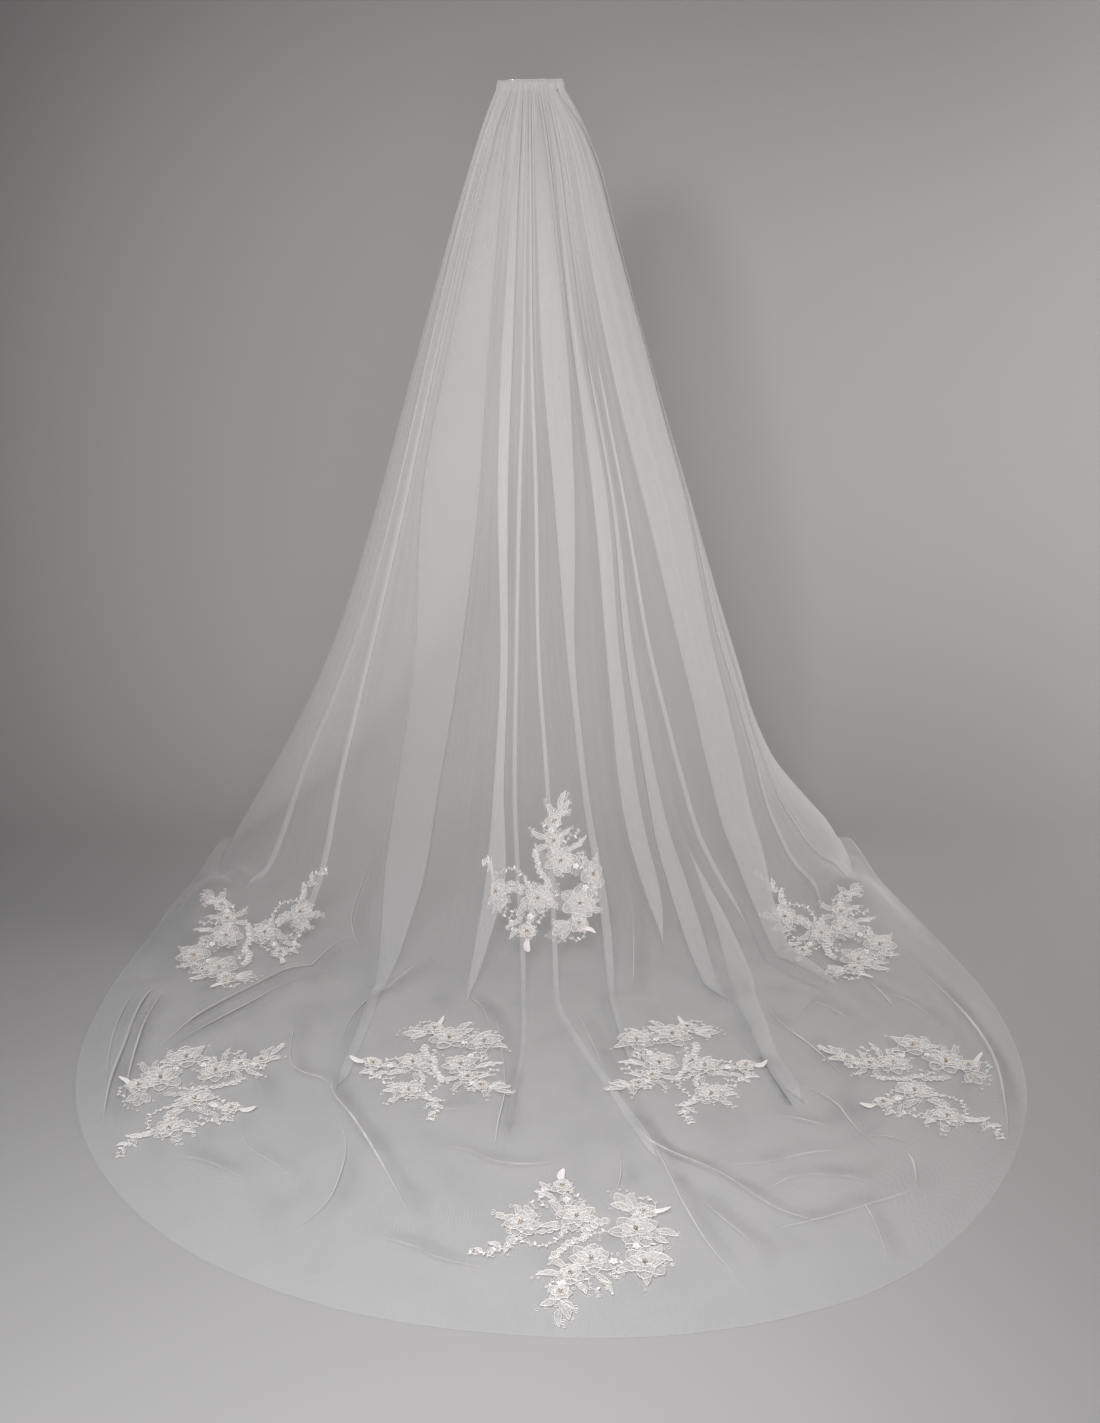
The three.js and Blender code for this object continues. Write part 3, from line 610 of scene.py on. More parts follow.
def tulle_material(settings):
    """Sheer net: each layer whitens what lies behind, more where it turns edge-on or is gathered; its colour holds
    painted light and shade.
    """
    material, tree, shader = new_material(
        "sheer tulle", {"Roughness": 0.85, "Sheen Weight": 0.2, "Specular IOR Level": 0.2})
    flat = node(tree, "ShaderNodeUVMap", uv_map="flat").outputs["UV"]
    drift = node(tree, "ShaderNodeTexNoise", {"Vector": flat, "Scale": 40.0, "Detail": 1.0})
    drift = node(tree, "ShaderNodeVectorMath", {"Vector": drift.outputs["Color"], "Scale": NET_DRIFT},
                 operation="SCALE")
    wandering = node(tree, "ShaderNodeVectorMath", {0: flat, 1: drift.outputs["Vector"]}, operation="ADD")
    net = node(tree, "ShaderNodeGroup", {"Vector": wandering.outputs["Vector"], "Mesh width": settings.net_width,
                                         "Thread share": THREAD_SHARE}, node_tree=net_group())
    threads = math_node(tree, "MULTIPLY_ADD", net.outputs["Threads"], THREAD_COVER, HOLE_COVER)
    streaks = stretched(tree, flat, (1, 0.02, 1))
    noise = node(tree, "ShaderNodeTexNoise", {"Vector": streaks, "Scale": 80.0, "Detail": 3.0, "Roughness": 0.6},
                 noise_dimensions="2D")
    streak = node(tree, "ShaderNodeMapRange", {"Value": noise.outputs["Fac"], "From Min": 0.38, "From Max": 0.62,
                                               "To Min": 0.5, "To Max": 1.3})
    gather = node(tree, "ShaderNodeAttribute", attribute_name="gather").outputs["Fac"]
    extra = math_node(tree, "MULTIPLY", math_node(tree, "MAXIMUM", gather, 0.0), streak.outputs["Result"])
    layers = math_node(tree, "ADD", math_node(tree, "ADD", extra, math_node(tree, "MINIMUM", gather, 0.0)), 1.0)
    cover = math_node(tree, "MULTIPLY", math_node(tree, "MULTIPLY", layers, settings.cover), threads)
    cover = math_node(tree, "MINIMUM", cover, MOST_COVER)
    edge_on = node(tree, "ShaderNodeLayerWeight").outputs["Facing"]
    facing = math_node(tree, "MAXIMUM", math_node(tree, "SUBTRACT", 1.0, edge_on), LEAST_FACING)
    holes = math_node(tree, "SUBTRACT", 1.0, cover)
    clear = math_node(tree, "POWER", holes, math_node(tree, "DIVIDE", 1.0, facing))
    tree.links.new(math_node(tree, "SUBTRACT", 1.0, clear, clamp=True), shader.inputs["Alpha"])
    # The base colour is painted light and shade: the tone attribute runs it from the painted shade colour through
    # the plain colour to the painted highlight colour.
    tone = node(tree, "ShaderNodeAttribute", attribute_name="tone").outputs["Fac"]
    tones = node(tree, "ShaderNodeValToRGB", {"Fac": math_node(tree, "MULTIPLY_ADD", tone, 0.5, 0.5)})
    ramp = tones.color_ramp
    ramp.elements[0].color = (*settings.shade, 1)
    ramp.elements[1].color = (*settings.crest, 1)
    ramp.elements.new(0.5).color = (*settings.colour, 1)
    tree.links.new(tones.outputs["Color"], shader.inputs["Base Color"])
    return material


# What stands in each row of the lace patterns.
FLOWER = "x y radius petals turn blunt"
LEAF = "root tip width blunt bend"
SCALLOP = "start end bow count length"
TENDRIL = "points buds"

# The two lace patterns, laid flat in millimetres round the middle of their first flower.
LARGE_FLOWERS = table(
    FLOWER,
    (0, 0, 38, 7, 12, 0.35), (41, 55, 33, 6, 35, 0.5), (92, 0, 33, 7, 5, 0.35), (133, 2, 21, 5, 40, 0.5),
    (168, 18, 18, 5, 60, 0.1), (-35, -18, 20, 6, 0, 0.7))
LARGE_LEAVES = table(
    LEAF,
    ((-30, -34), (-36, -77), 21, 0.6, 3), ((-26, -36), (-14, -66), 14, 0.6, -3),
    ((-36, -34), (-52, -62), 14, 0.6, 3), ((-20, 18), (-33, 52), 13, 0.1, 3),
    ((-10, 26), (-14, 50), 11, 0.1, -2), ((24, 50), (9, 78), 12, 0.1, 3), ((24, 50), (-4, 46), 12, 0.1, -3),
    ((56, 68), (72, 88), 12, 0.1, 2), ((66, 48), (84, 44), 11, 0.2, -2), ((104, 22), (103, 52), 9, 0.1, -3),
    ((108, 34), (117, 68), 6, 0.1, 3), ((142, -8), (168, -31), 10, 0.1, -3),
    ((128, -14), (128, -40), 11, 0.4, 2), ((138, 18), (142, 42), 9, 0.1, 2),
    ((178, 26), (192, 60), 13, 0.2, 3), ((184, 36), (211, 61), 10, 0.1, -3),
    ((178, 20), (202, 15), 12, 0.2, 2), ((176, 30), (174, 50), 8, 0.1, 2))
LARGE_SATIN = table(LEAF, ((-46, -30), (-68, 6), 8, 0.9, -7))
LARGE_SCALLOPS = table(
    SCALLOP,
    ((12, -36), (64, -33), -10, 6, 15), ((64, -33), (124, -32), -7, 6, 13))
LARGE_TENDRILS = table(
    TENDRIL,
    ([(-44, -6), (-60, -18), (-66, -34), (-56, -46)], 3),
    ([(30, -30), (52, -40), (80, -46), (112, -42), (140, -34)], 7),
    ([(116, 20), (128, 34), (126, 48), (134, 56)], 3), ([(148, 10), (156, -4), (168, -6), (176, 4)], 3),
    ([(60, 36), (74, 32), (84, 40), (92, 36)], 3), ([(-2, 36), (8, 42), (16, 40)], 2))
SMALL_FLOWERS = table(
    FLOWER,
    (0, 0, 31, 8, 22, 0.05), (0, -83, 28, 7, 10, 0.4), (68.5, -6.5, 19, 6, 10, 0.2))
SMALL_LEAVES = table(
    LEAF,
    ((10, -22), (40, -34), 13, 0.3, 3), ((10, -58), (38, -70), 13, 0.3, -3), ((24, -6), (54, -8), 12, 0.3, 2),
    ((40, -22), (66, -50), 9, 0.1, 3), ((66, -22), (88, -38), 10, 0.1, -3),
    ((-18, -14), (-30, -30), 9, 0.2, 2), ((-4, -28), (-10, -58), 10, 0.3, -3),
    ((22, -84), (44, -84), 10, 0.2, 3), ((16, -100), (32, -114), 11, 0.5, -2),
    ((-22, -98), (-44, -110), 11, 0.2, 2), ((-34, -110), (-58, -118), 8, 0.1, -2),
    ((-44, -120), (-34, -136), 8, 0.2, 2), ((-46, -132), (-60, -142), 7, 0.2, -2),
    ((-48, -146), (-38, -158), 6, 0.2, 1))
SMALL_SATIN = table(LEAF, ((80, -3), (109, 4), 11, 0.9, -4))
SMALL_SCALLOPS = table(SCALLOP, ((-8, -32), (-14, -62), -6, 3, 11))
SMALL_TENDRILS = table(
    TENDRIL,
    ([(-22, -22), (-42, -38), (-50, -58), (-44, -76), (-28, -92)], 7),
    ([(-26, -96), (-44, -112), (-50, -134), (-46, -166)], 8),
    ([(30, -40), (48, -46), (60, -40), (70, -30)], 4), ([(18, -62), (34, -56), (44, -60)], 2),
    ([(20, 18), (34, 16), (46, 8)], 2))
# "mirrored" is the axis that a mirrored applique is turned over on: 0 across, 1 up.
LARGE = {"flowers": LARGE_FLOWERS, "leaves": LARGE_LEAVES, "satin": LARGE_SATIN,
         "scallops": LARGE_SCALLOPS, "tendrils": LARGE_TENDRILS, "mirrored": 1}
SMALL = {"flowers": SMALL_FLOWERS, "leaves": SMALL_LEAVES, "satin": SMALL_SATIN,
         "scallops": SMALL_SCALLOPS, "tendrils": SMALL_TENDRILS, "mirrored": 0}

# Where each applique lies, and whether the folds of the tulle lie over it. Beyond "pinch", in millimetres
# across, the tulle folds the lace in with it, so that only a share of its width shows.
APPLIQUES = table(
    "name mirror around level turn under pinch share",
    ("large_left", 1, -33, 14.72, 71, False), ("small_left", 1, -28.2, 14.68, 35, False),
    ("large_right", -1, 38.5, 14.73, 118, False), ("small_right", -1, 33, 14.69, -31, False),
    ("large_inner_left", 1, -9.6, 14.16, -61, False), ("small_inner_left", -1, -12.2, 14.28, 18, False),
    ("large_inner_right", -1, 17.1, 14.18, -128, False), ("small_inner_right", 1, 18.2, 14.31, -22, False),
    ("large_hem", 1, 6.9, 14.76, -142, False), ("small_hem", -1, 3.4, 14.72, -78, False),
    ("large_upper_left", 1, -45.7, 14.32, 159, False), ("small_upper_left", -1, -48.4, 13.96, 171, False),
    ("large_upper_right", -1, 48.8, 14.3, 28, False), ("small_upper_right", 1, 50.4, 14.08, 178, True),
    ("large_centre", -1, 8.7, 11.17, 110, True, 20, 0.6),
    ("small_centre", 1, 1.3, 11.05, -101, True, -85, 0.33))
KINDS = {"net": 0, "satin": 1, "cord": 2, "bead": 3, "crystal": 4}

# The rings of petals in a flower, from the outermost: their reach as a share of the flower's radius, how many
# petals fewer, how far round they are shifted, the heights of their roots and tips, whether they have a rib,
# and how closely they are filled.
PETAL_RINGS = table(
    "reach fewer shift low high rib cover",
    (1.0, 0, 0.0, 0.9, 2.8, True, 0.8), (0.74, 0, 0.5, 1.9, 4.4, True, 1.0), (0.45, 2, 0.2, 3.0, 5.8, False, 1.0))
PETAL_ROWS, PETAL_COLUMNS = 7, 5
STITCHED = {"cup": 0.5, "kind": "satin", "rim": 0.4, "rib": False, "frill": 0.3}  # a small stitched petal
LEAST_HALF = 0.35  # millimetres, half of a petal's least width
CORD_LIFT = 0.3  # millimetres from a petal up to the middle of its cords
FRILL_STEP = 3.2  # millimetres between the points of a petal's edge
RIB_RADIUS, RIM_RADIUS, LOOP_RADIUS, STEM_RADIUS = 0.38, 0.75, 0.55, 0.6  # of the cords, in millimetres
STEM_HEIGHT = 1.3
LOOP_POINTS = 8
# How much chance there is in a flower: in the turn of a petal, and in its reach and width.
TURN_CHANCE, REACH_CHANCE, WIDTH_CHANCE = (-0.13, 0.13), (0.86, 1.1), (0.88, 1.1)
HEART_PIECES = 8  # crystals in the middle of a flower, and as many beads round them
HEART_TURN, HEART_STEP, HEART_HEIGHT = 2.4, 1.5, 6.4  # the crystals' spiral: radians, and millimetres out and up
HEART_RING, RING_HEIGHT = 0.2, 5.8  # the beads' ring, as a share of the flower, and its height in millimetres
# How far the soft net reaches past each form, as a share of the form's own size.
NET_SHARES = {"flowers": 0.9, "leaves": 0.55, "scallops": 0.8, "links": 0.5}
GROUND_STEP = 3.0  # millimetres between the points of the soft net behind the flowers
GROUND_EDGE = 4.0  # millimetres over which that net thins out
GROUND_COVER = 0.5  # how closely it is worked
LINK_REACH = 82  # flowers nearer than this are joined by the net
SEED_BEADS = 60  # sewn on that net
PICOTS = 84  # along its edge
CAST_GRID, CAST_MARGIN = 40, 6.0  # places to each side at which the cloth is felt for, and how far past the lace
CAST_FROM, CAST_REACH = 110, 0.26  # from how far off, in millimetres, and how far in, in metres
CLEARANCE = 0.8  # millimetres between the cloth and the lace


def on_circle(x, y, radius, angle):
    return x + radius * np.cos(angle), y + radius * np.sin(angle)


class LaceSketch:
    """One pattern drawn flat in millimetres, with a height above the cloth: petals and ground as faces,
    cords as edges, and beads as single points."""

    def __init__(self, seed):
        self.points, self.faces, self.edges = [], [], []
        self.kind, self.radius, self.cover = [], [], []
        self.chance = np.random.default_rng(seed)

    def add(self, points, kind, radius=0.0, cover=1.0):
        first = len(self.points)
        self.points += [tuple(p) for p in points]
        self.kind += [KINDS[kind]] * len(points)
        self.radius += [radius] * len(points)
        self.cover += list(np.broadcast_to(cover, len(points)))
        return first

    def cord(self, points, radius):
        first = self.add(points, "cord", radius)
        self.edges += [(first + k, first + k + 1) for k in range(len(points) - 1)]

    def bead(self, at, radius, kind="bead"):
        self.add([at], kind, radius)

    def picot(self, x, y, size, height):
        """A small loop of cord."""
        turn = np.linspace(0, 2 * np.pi, LOOP_POINTS)
        across, up = on_circle(x, y, size, turn)
        self.cord(np.stack([across, up, np.full(LOOP_POINTS, height)], axis=-1), LOOP_RADIUS)

    def petal(self, root, tip, width, blunt, low, high, cup=1.5, bend=0.0, kind="net", rim=RIM_RADIUS, rib=True,
              frill=1.1, cover=0.9):
        """A cupped petal or leaf with a frilled cord round its edge and, if asked, one along its middle."""
        root, tip = np.asarray(root, float), np.asarray(tip, float)
        along = tip - root
        length = math.hypot(*along)
        aside = np.array([-along[1], along[0]]) / length

        def place(u, v, push=0.0):
            # A pointed and a round outline, mixed by how blunt the petal is.
            pointed = np.sin(np.pi * u**0.8) ** 0.9 * (1 - 0.25 * u)
            rounded = np.sin(np.pi * u**1.3) ** 0.5
            half = np.maximum(width / 2 * (pointed * (1 - blunt) + rounded * blunt), LEAST_HALF)
            flat = root + along * u[..., None] + aside * (bend * np.sin(np.pi * u) + half * v + push)[..., None]
            height = low + (high - low) * u**1.4 + cup * np.sin(np.pi * u) * v * v
            return np.concatenate([flat, height[..., None]], axis=-1)

        u, v = np.broadcast_arrays(np.linspace(0, 1, PETAL_ROWS)[:, None],
                                   np.linspace(-1, 1, PETAL_COLUMNS)[None, :])
        first = self.add(place(u, v).reshape(-1, 3), kind, cover=cover)
        self.faces += [tuple(first + int(k) for k in face)
                       for face in grid_faces(PETAL_ROWS, PETAL_COLUMNS)[:, ::-1]]
        lift = np.array([0, 0, CORD_LIFT])
        steps = max(int(length / FRILL_STEP), 4)
        u = np.linspace(0.03, 1, steps)
        wave = frill * (np.arange(steps) % 2) * np.sin(np.pi * u)
        left, right = place(u, -np.ones(steps), -wave), place(u, np.ones(steps), wave)
        self.cord(np.concatenate([left, right[::-1]]) + lift, rim)
        if rib:
            self.cord(place(np.linspace(0.12, 0.8, 4), np.zeros(4)) + lift, RIB_RADIUS)

    def flower(self, x, y, radius, petals, turn, blunt):
        """Three rings of overlapping petals round a cluster of crystals and seed beads."""
        centre = np.array([x, y], float)
        for ring in PETAL_RINGS:
            size, count = radius * ring["reach"], max(petals - ring["fewer"], 4)
            for k in range(count):
                step = k + ring["shift"] + self.chance.uniform(*TURN_CHANCE)
                angle = math.radians(turn) + step / count * 2 * math.pi
                way = np.array([math.cos(angle), math.sin(angle)])
                tip = centre + way * size * self.chance.uniform(*REACH_CHANCE)
                width = 4.5 * size / count * self.chance.uniform(*WIDTH_CHANCE)
                self.petal(centre + way * size * 0.1, tip, width, 0.35 + 0.6 * blunt, ring["low"],
                           ring["high"] + self.chance.uniform(0, 1.0), bend=size * 0.05, rib=ring["rib"],
                           cover=ring["cover"])
                self.bead((*(centre + way * size * 0.72), ring["high"] + 1.0), 0.8)
        for k in range(HEART_PIECES):
            reach = HEART_STEP * math.sqrt(k) * self.chance.uniform(0.7, 1.3)
            self.bead((*on_circle(x, y, reach, k * HEART_TURN), HEART_HEIGHT + 0.5 * (k % 2)),
                      self.chance.uniform(0.8, 1.4), "crystal")
        for k in range(HEART_PIECES):
            angle = k / HEART_PIECES * 2 * math.pi + 0.3
            self.bead((*on_circle(x, y, radius * HEART_RING, angle), RING_HEIGHT), 0.75)

    def blossom(self, x, y, radius):
        """Five small stitched petals round one bead."""
        start = self.chance.uniform(0, 2 * math.pi)
        for k in range(5):
            self.petal((x, y), on_circle(x, y, radius, start + k / 5 * 2 * math.pi), radius * 0.85, 0.7,
                       1.6, 2.6, **STITCHED)
        self.bead((x, y, 3.2), 1.0)

    def scallops(self, start, end, bow, count, length):
        """Small rounded lobes side by side along a bowed line."""
        start, end = np.asarray(start, float), np.asarray(end, float)
        along = end - start
        aside = np.array([along[1], -along[0]]) / math.hypot(*along)
        for k in range(count):
            s = (k + 0.5) / count
            root = start + along * s - aside * bow * 4 * s * (1 - s)
            spread = along / math.hypot(*along) * (s - 0.5) * 6
            tip = root + aside * length * self.chance.uniform(0.75, 1.1) + spread
            self.petal(root, tip, 1.25 * math.hypot(*along) / count, 0.8, 0.8, 2.2, cup=1.0)
            self.bead((*(root + aside * length * 0.6), 2.6), 0.8)

    def tendril(self, points, buds):
        """A curling cord with small leaves, loops and beads along it."""
        stations = np.linspace(0, 1, len(points))
        across, up = [p[0] for p in points], [p[1] for p in points]

        def at(s):
            return np.array([smooth(stations, across, s), smooth(stations, up, s)])

        fine = np.linspace(0, 1, 6 * len(points))
        self.cord(np.append(at(fine).T, np.full((len(fine), 1), STEM_HEIGHT), axis=1), STEM_RADIUS)
        for k in range(2 * buds):
            s = (k + 0.5) / (2 * buds)
            ahead = at(min(s + 0.03, 1)) - at(max(s - 0.03, 0))
            ahead /= math.hypot(*ahead)
            side = np.array([-ahead[1], ahead[0]]) * (1 if k % 2 else -1)
            if k % 3 == 0:
                self.petal(at(s), at(s) + side * 6.5 + ahead * 2.5, 3.6, 0.6, 1.0, 2.0, **STITCHED)
            else:
                self.picot(*(at(s) + side * 2.5), self.chance.uniform(1.5, 2.3), 1.6)
            self.bead((*(at(s) - side * 1.6), 2.0), 0.85)
        self.picot(*at(1.0), 2.2, 1.5)

    def ground(self, pattern):
        """Soft net between the flowers and leaves that thins out to a ragged edge, sewn with seed beads and
        edged with picots."""
        hearts = [((row["x"], row["y"]), row["radius"]) for row in pattern["flowers"]]
        runs = [(heart, heart, radius * NET_SHARES["flowers"]) for heart, radius in hearts]
        runs += [(row["root"], row["tip"], row["width"] * NET_SHARES["leaves"]) for row in pattern["leaves"]]
        runs += [(row["start"], row["end"], row["length"] * NET_SHARES["scallops"]) for row in pattern["scallops"]]
        for k, (a, radius) in enumerate(hearts):
            for b, other in hearts[:k]:
                if math.dist(a, b) < LINK_REACH:
                    runs.append((a, b, min(radius, other) * NET_SHARES["links"]))
                    self.blossom(0.5 * (a[0] + b[0]) + 4, 0.5 * (a[1] + b[1]) - 4, 6.5)
        ends = np.array([[*start, reach] for start, _, reach in runs] + [[*end, reach] for _, end, reach in runs])
        low, high = (ends[:, :2] - ends[:, 2:]).min(axis=0), (ends[:, :2] + ends[:, 2:]).max(axis=0)
        x, y = np.meshgrid(np.arange(low[0], high[0], GROUND_STEP), np.arange(low[1], high[1], GROUND_STEP),
                           indexing="ij")
        # The net's edge wanders by a few millimetres.
        ragged = 1.6 * np.sin(x / 3.1 + 1.3 * np.sin(y / 4.7)) * np.sin(y / 3.7 + 1.1 * np.sin(x / 5.3))
        inside = np.full(x.shape, -99.0)
        for start, end, reach in runs:
            dx, dy = end[0] - start[0], end[1] - start[1]
            s = np.clip(((x - start[0]) * dx + (y - start[1]) * dy) / max(dx * dx + dy * dy, 0.01), 0, 1)
            away = np.hypot(x - start[0] - s * dx, y - start[1] - s * dy)
            inside = np.maximum(inside, reach - away + ragged)
        cover = GROUND_COVER * ease(inside / GROUND_EDGE)
        faces = grid_faces(*x.shape)
        faces = faces[(inside.ravel()[faces] > 0).any(axis=1)]
        used = np.unique(faces)
        places = np.stack([x, y, 0.2 + 0.8 * ease(inside / 8)], axis=-1).reshape(-1, 3)
        first = self.add(places[used], "net", cover=cover.ravel()[used])
        self.faces += [tuple(int(k) for k in face) for face in (np.searchsorted(used, faces) + first)[:, ::-1]]
        sewn = places[inside.ravel() > 3]
        for k in self.chance.choice(len(sewn), SEED_BEADS, replace=False):
            self.bead((*sewn[k, :2], 3.6), self.chance.uniform(0.6, 0.95))
        edge = places[(inside.ravel() > -1) & (inside.ravel() < 2)]
        for k in self.chance.choice(len(edge), PICOTS, replace=False):
            self.picot(*edge[k, :2], self.chance.uniform(1.6, 3.2), 1.3)


def sketch(pattern, seed):
    """Draw a whole pattern."""
    made = LaceSketch(seed)
    made.ground(pattern)
    for leaf in pattern["leaves"]:
        made.petal(**leaf, low=0.8, high=2.6)
    for leaf in pattern["satin"]:
        made.petal(**leaf, low=1.0, high=4.5, cup=-1.2, kind="satin", rib=False, frill=0)
    for name, draw in (("scallops", made.scallops), ("tendrils", made.tendril), ("flowers", made.flower)):
        for row in pattern[name]:
            draw(**row)
    return made


def lay_on_cloth(made, pattern, row, cloth):
    """Bring a pattern's points onto the cloth, in metres."""
    around, level = row["around"], row["level"]
    out = cloth_out(around, level)
    across = unit(plain_cloth(around + 0.5, level) - plain_cloth(around - 0.5, level))
    up = np.cross(out, across)
    turn = math.radians(row["turn"])
    flat = np.array(made.points, float)
    flat[:, pattern["mirrored"]] *= row["mirror"]
    x = flat[:, 0] * math.cos(turn) - flat[:, 1] * math.sin(turn)
    y = flat[:, 0] * math.sin(turn) + flat[:, 1] * math.cos(turn)
    if "pinch" in row:
        over = (x - row["pinch"]) * np.sign(row["pinch"])
        x = x - np.sign(row["pinch"]) * np.maximum(over, 0) * (1 - row["share"])
    xs, ys = (np.linspace(v.min() - CAST_MARGIN, v.max() + CAST_MARGIN, CAST_GRID) for v in (x, y))
    centre = plain_cloth(around, level)
    side = -1 if row["under"] else 1
    reach = np.full((CAST_GRID, CAST_GRID), np.nan)
    for i, gx in enumerate(xs):
        for j, gy in enumerate(ys):
            at = (centre + across * gx + up * gy + out * CAST_FROM * side) * MM
            hit = cloth.ray_cast(Vector(at), Vector(-out * side), CAST_REACH)[0]
            if hit is not None:
                reach[i, j] = (np.array(hit) / MM - centre) @ out
    reach = np.where(np.isnan(reach), np.nanmedian(reach), reach)
    for _ in range(2):
        padded = np.pad(reach, 1, mode="edge")
        reach = (padded[1:-1, 1:-1] * 2 + padded[:-2, 1:-1] + padded[2:, 1:-1] + padded[1:-1, :-2]
                 + padded[1:-1, 2:]) / 6
    ground = centre + across * xs[:, None, None] + up * ys[None, :, None] + out * reach[..., None]
    normal = unit(np.cross(np.gradient(ground, axis=0), np.gradient(ground, axis=1)))
    normal *= np.sign(normal @ out)[..., None]
    fi, fj = (x - xs[0]) / (xs[1] - xs[0]), (y - ys[0]) / (ys[1] - ys[0])
    i, j = (np.clip(places.astype(int), 0, CAST_GRID - 2) for places in (fi, fj))
    a, b = (fi - i)[:, None], (fj - j)[:, None]

    def between(grid):
        return ((1 - a) * (1 - b) * grid[i, j] + a * (1 - b) * grid[i + 1, j]
                + (1 - a) * b * grid[i, j + 1] + a * b * grid[i + 1, j + 1])

    return (between(ground) + between(normal) * (flat[:, 2] + CLEARANCE)[:, None]) * MM


def attribute(tree, name):
    """A number stored on each point."""
    return node(tree, "GeometryNodeInputNamedAttribute", {"Name": name}, data_type="FLOAT").outputs["Attribute"]


def finished(tree, geometry, material, soft=True):
    """Geometry with its material, shaded smooth if it is soft."""
    if soft:
        geometry = node(tree, "GeometryNodeSetShadeSmooth", {"Geometry": geometry}).outputs["Geometry"]
    made = node(tree, "GeometryNodeSetMaterial", {"Geometry": geometry, "Material": material})
    return made.outputs["Geometry"]


def joined(tree, parts, result):
    """Join the parts and hand them over; the part that is linked last comes first."""
    join = tree.nodes.new("GeometryNodeJoinGeometry")
    for part in parts:
        tree.links.new(part, join.inputs["Geometry"])
    tree.links.new(join.outputs["Geometry"], result.inputs["Geometry"])
    return tree


def lace_tree(materials):
    """Geometry nodes that keep the petals, make tubes of the cords and put a bead on each single point."""
    tree, given, result = new_group(
        "Lace work", [("Geometry", "Geometry"), ("Cord sides", "Int"), ("Bead rings", "Int")],
        [("Geometry", "Geometry")], "GeometryNodeTree")
    kind, radius = attribute(tree, "kind"), attribute(tree, "thickness")

    def only(name):
        same = node(tree, "FunctionNodeCompare", {0: kind, 1: KINDS[name], "Epsilon": 0.1},
                    data_type="FLOAT", operation="EQUAL")
        return node(tree, "GeometryNodeSeparateGeometry",
                    {"Geometry": given.outputs["Geometry"], "Selection": same.outputs[0]},
                    domain="POINT").outputs["Selection"]

    parts = [finished(tree, only(name), materials[name], soft=False) for name in ("net", "satin")]
    curve = node(tree, "GeometryNodeMeshToCurve", {"Mesh": only("cord")}).outputs["Curve"]
    circle = node(tree, "GeometryNodeCurvePrimitiveCircle",
                  {"Resolution": given.outputs["Cord sides"], "Radius": 1.0}, mode="RADIUS")
    thick = node(tree, "GeometryNodeSetCurveRadius", {"Curve": curve, "Radius": radius}).outputs["Curve"]
    tubes = node(tree, "GeometryNodeCurveToMesh",
                 {"Curve": thick, "Profile Curve": circle.outputs["Curve"], "Fill Caps": True})
    if "Scale" in tubes.inputs:
        tree.links.new(radius, tubes.inputs["Scale"])
    parts.append(finished(tree, tubes.outputs["Mesh"], materials["cord"]))
    for name in ("bead", "crystal"):
        spots = node(tree, "GeometryNodeMeshToPoints", {"Mesh": only(name)}).outputs["Points"]
        ball = node(tree, "GeometryNodeMeshUVSphere",
                    {"Segments": 6, "Rings": given.outputs["Bead rings"], "Radius": 1.0}).outputs["Mesh"]
        laid = node(tree, "GeometryNodeInstanceOnPoints", {"Points": spots, "Instance": ball, "Scale": radius})
        real = node(tree, "GeometryNodeRealizeInstances", {"Geometry": laid.outputs["Instances"]})
        parts.append(finished(tree, real.outputs["Geometry"], materials[name]))
    return joined(tree, reversed(parts), result)


def apply_tree(piece, tree, values):
    """Run a geometry tree on a piece and keep the result as a plain mesh."""
    modifier = piece.modifiers.new("work", "NODES")
    modifier.node_group = tree
    for item in tree.interface.items_tree:
        if item.item_type == "SOCKET" and item.in_out == "INPUT" and item.name in values:
            modifier[item.identifier] = values[item.name]
    graph = bpy.context.evaluated_depsgraph_get()
    graph.update()
    made = bpy.data.meshes.new_from_object(piece.evaluated_get(graph), depsgraph=graph)
    piece.modifiers.remove(modifier)
    for slot in reversed(range(len(made.materials))):
        if made.materials[slot] is None:
            made.materials.pop(index=slot)
    old = piece.data
    piece.data = made
    bpy.data.meshes.remove(old)
    made.name = piece.name


def thread_bump(tree, shader, scale, strength, distance, where=None, detail=3.0, roughness=0.6):
    """Fine threads or lines: a bump from noise."""
    where = where or node(tree, "ShaderNodeTexCoord").outputs["Object"]
    noise = node(tree, "ShaderNodeTexNoise",
                 {"Vector": where, "Scale": scale, "Detail": detail, "Roughness": roughness})
    bump = node(tree, "ShaderNodeBump",
                {"Strength": strength, "Distance": distance, "Height": noise.outputs["Fac"]})
    tree.links.new(bump.outputs["Normal"], shader.inputs["Normal"])
    return noise.outputs["Fac"]


def stretched(tree, where, scale):
    """Places stretched along an axis, for noise that runs along it."""
    return node(tree, "ShaderNodeMapping", {"Vector": where, "Scale": scale}, vector_type="POINT").outputs["Vector"]


def two_tone(tree, shader, factor, dark, light):
    """Base colour between two tones."""
    tone = node(tree, "ShaderNodeMix", {"Factor": factor}, data_type="RGBA")
    tone.inputs["A"].default_value = (*dark, 1)
    tone.inputs["B"].default_value = (*light, 1)
    tree.links.new(tone.outputs["Result"], shader.inputs["Base Color"])


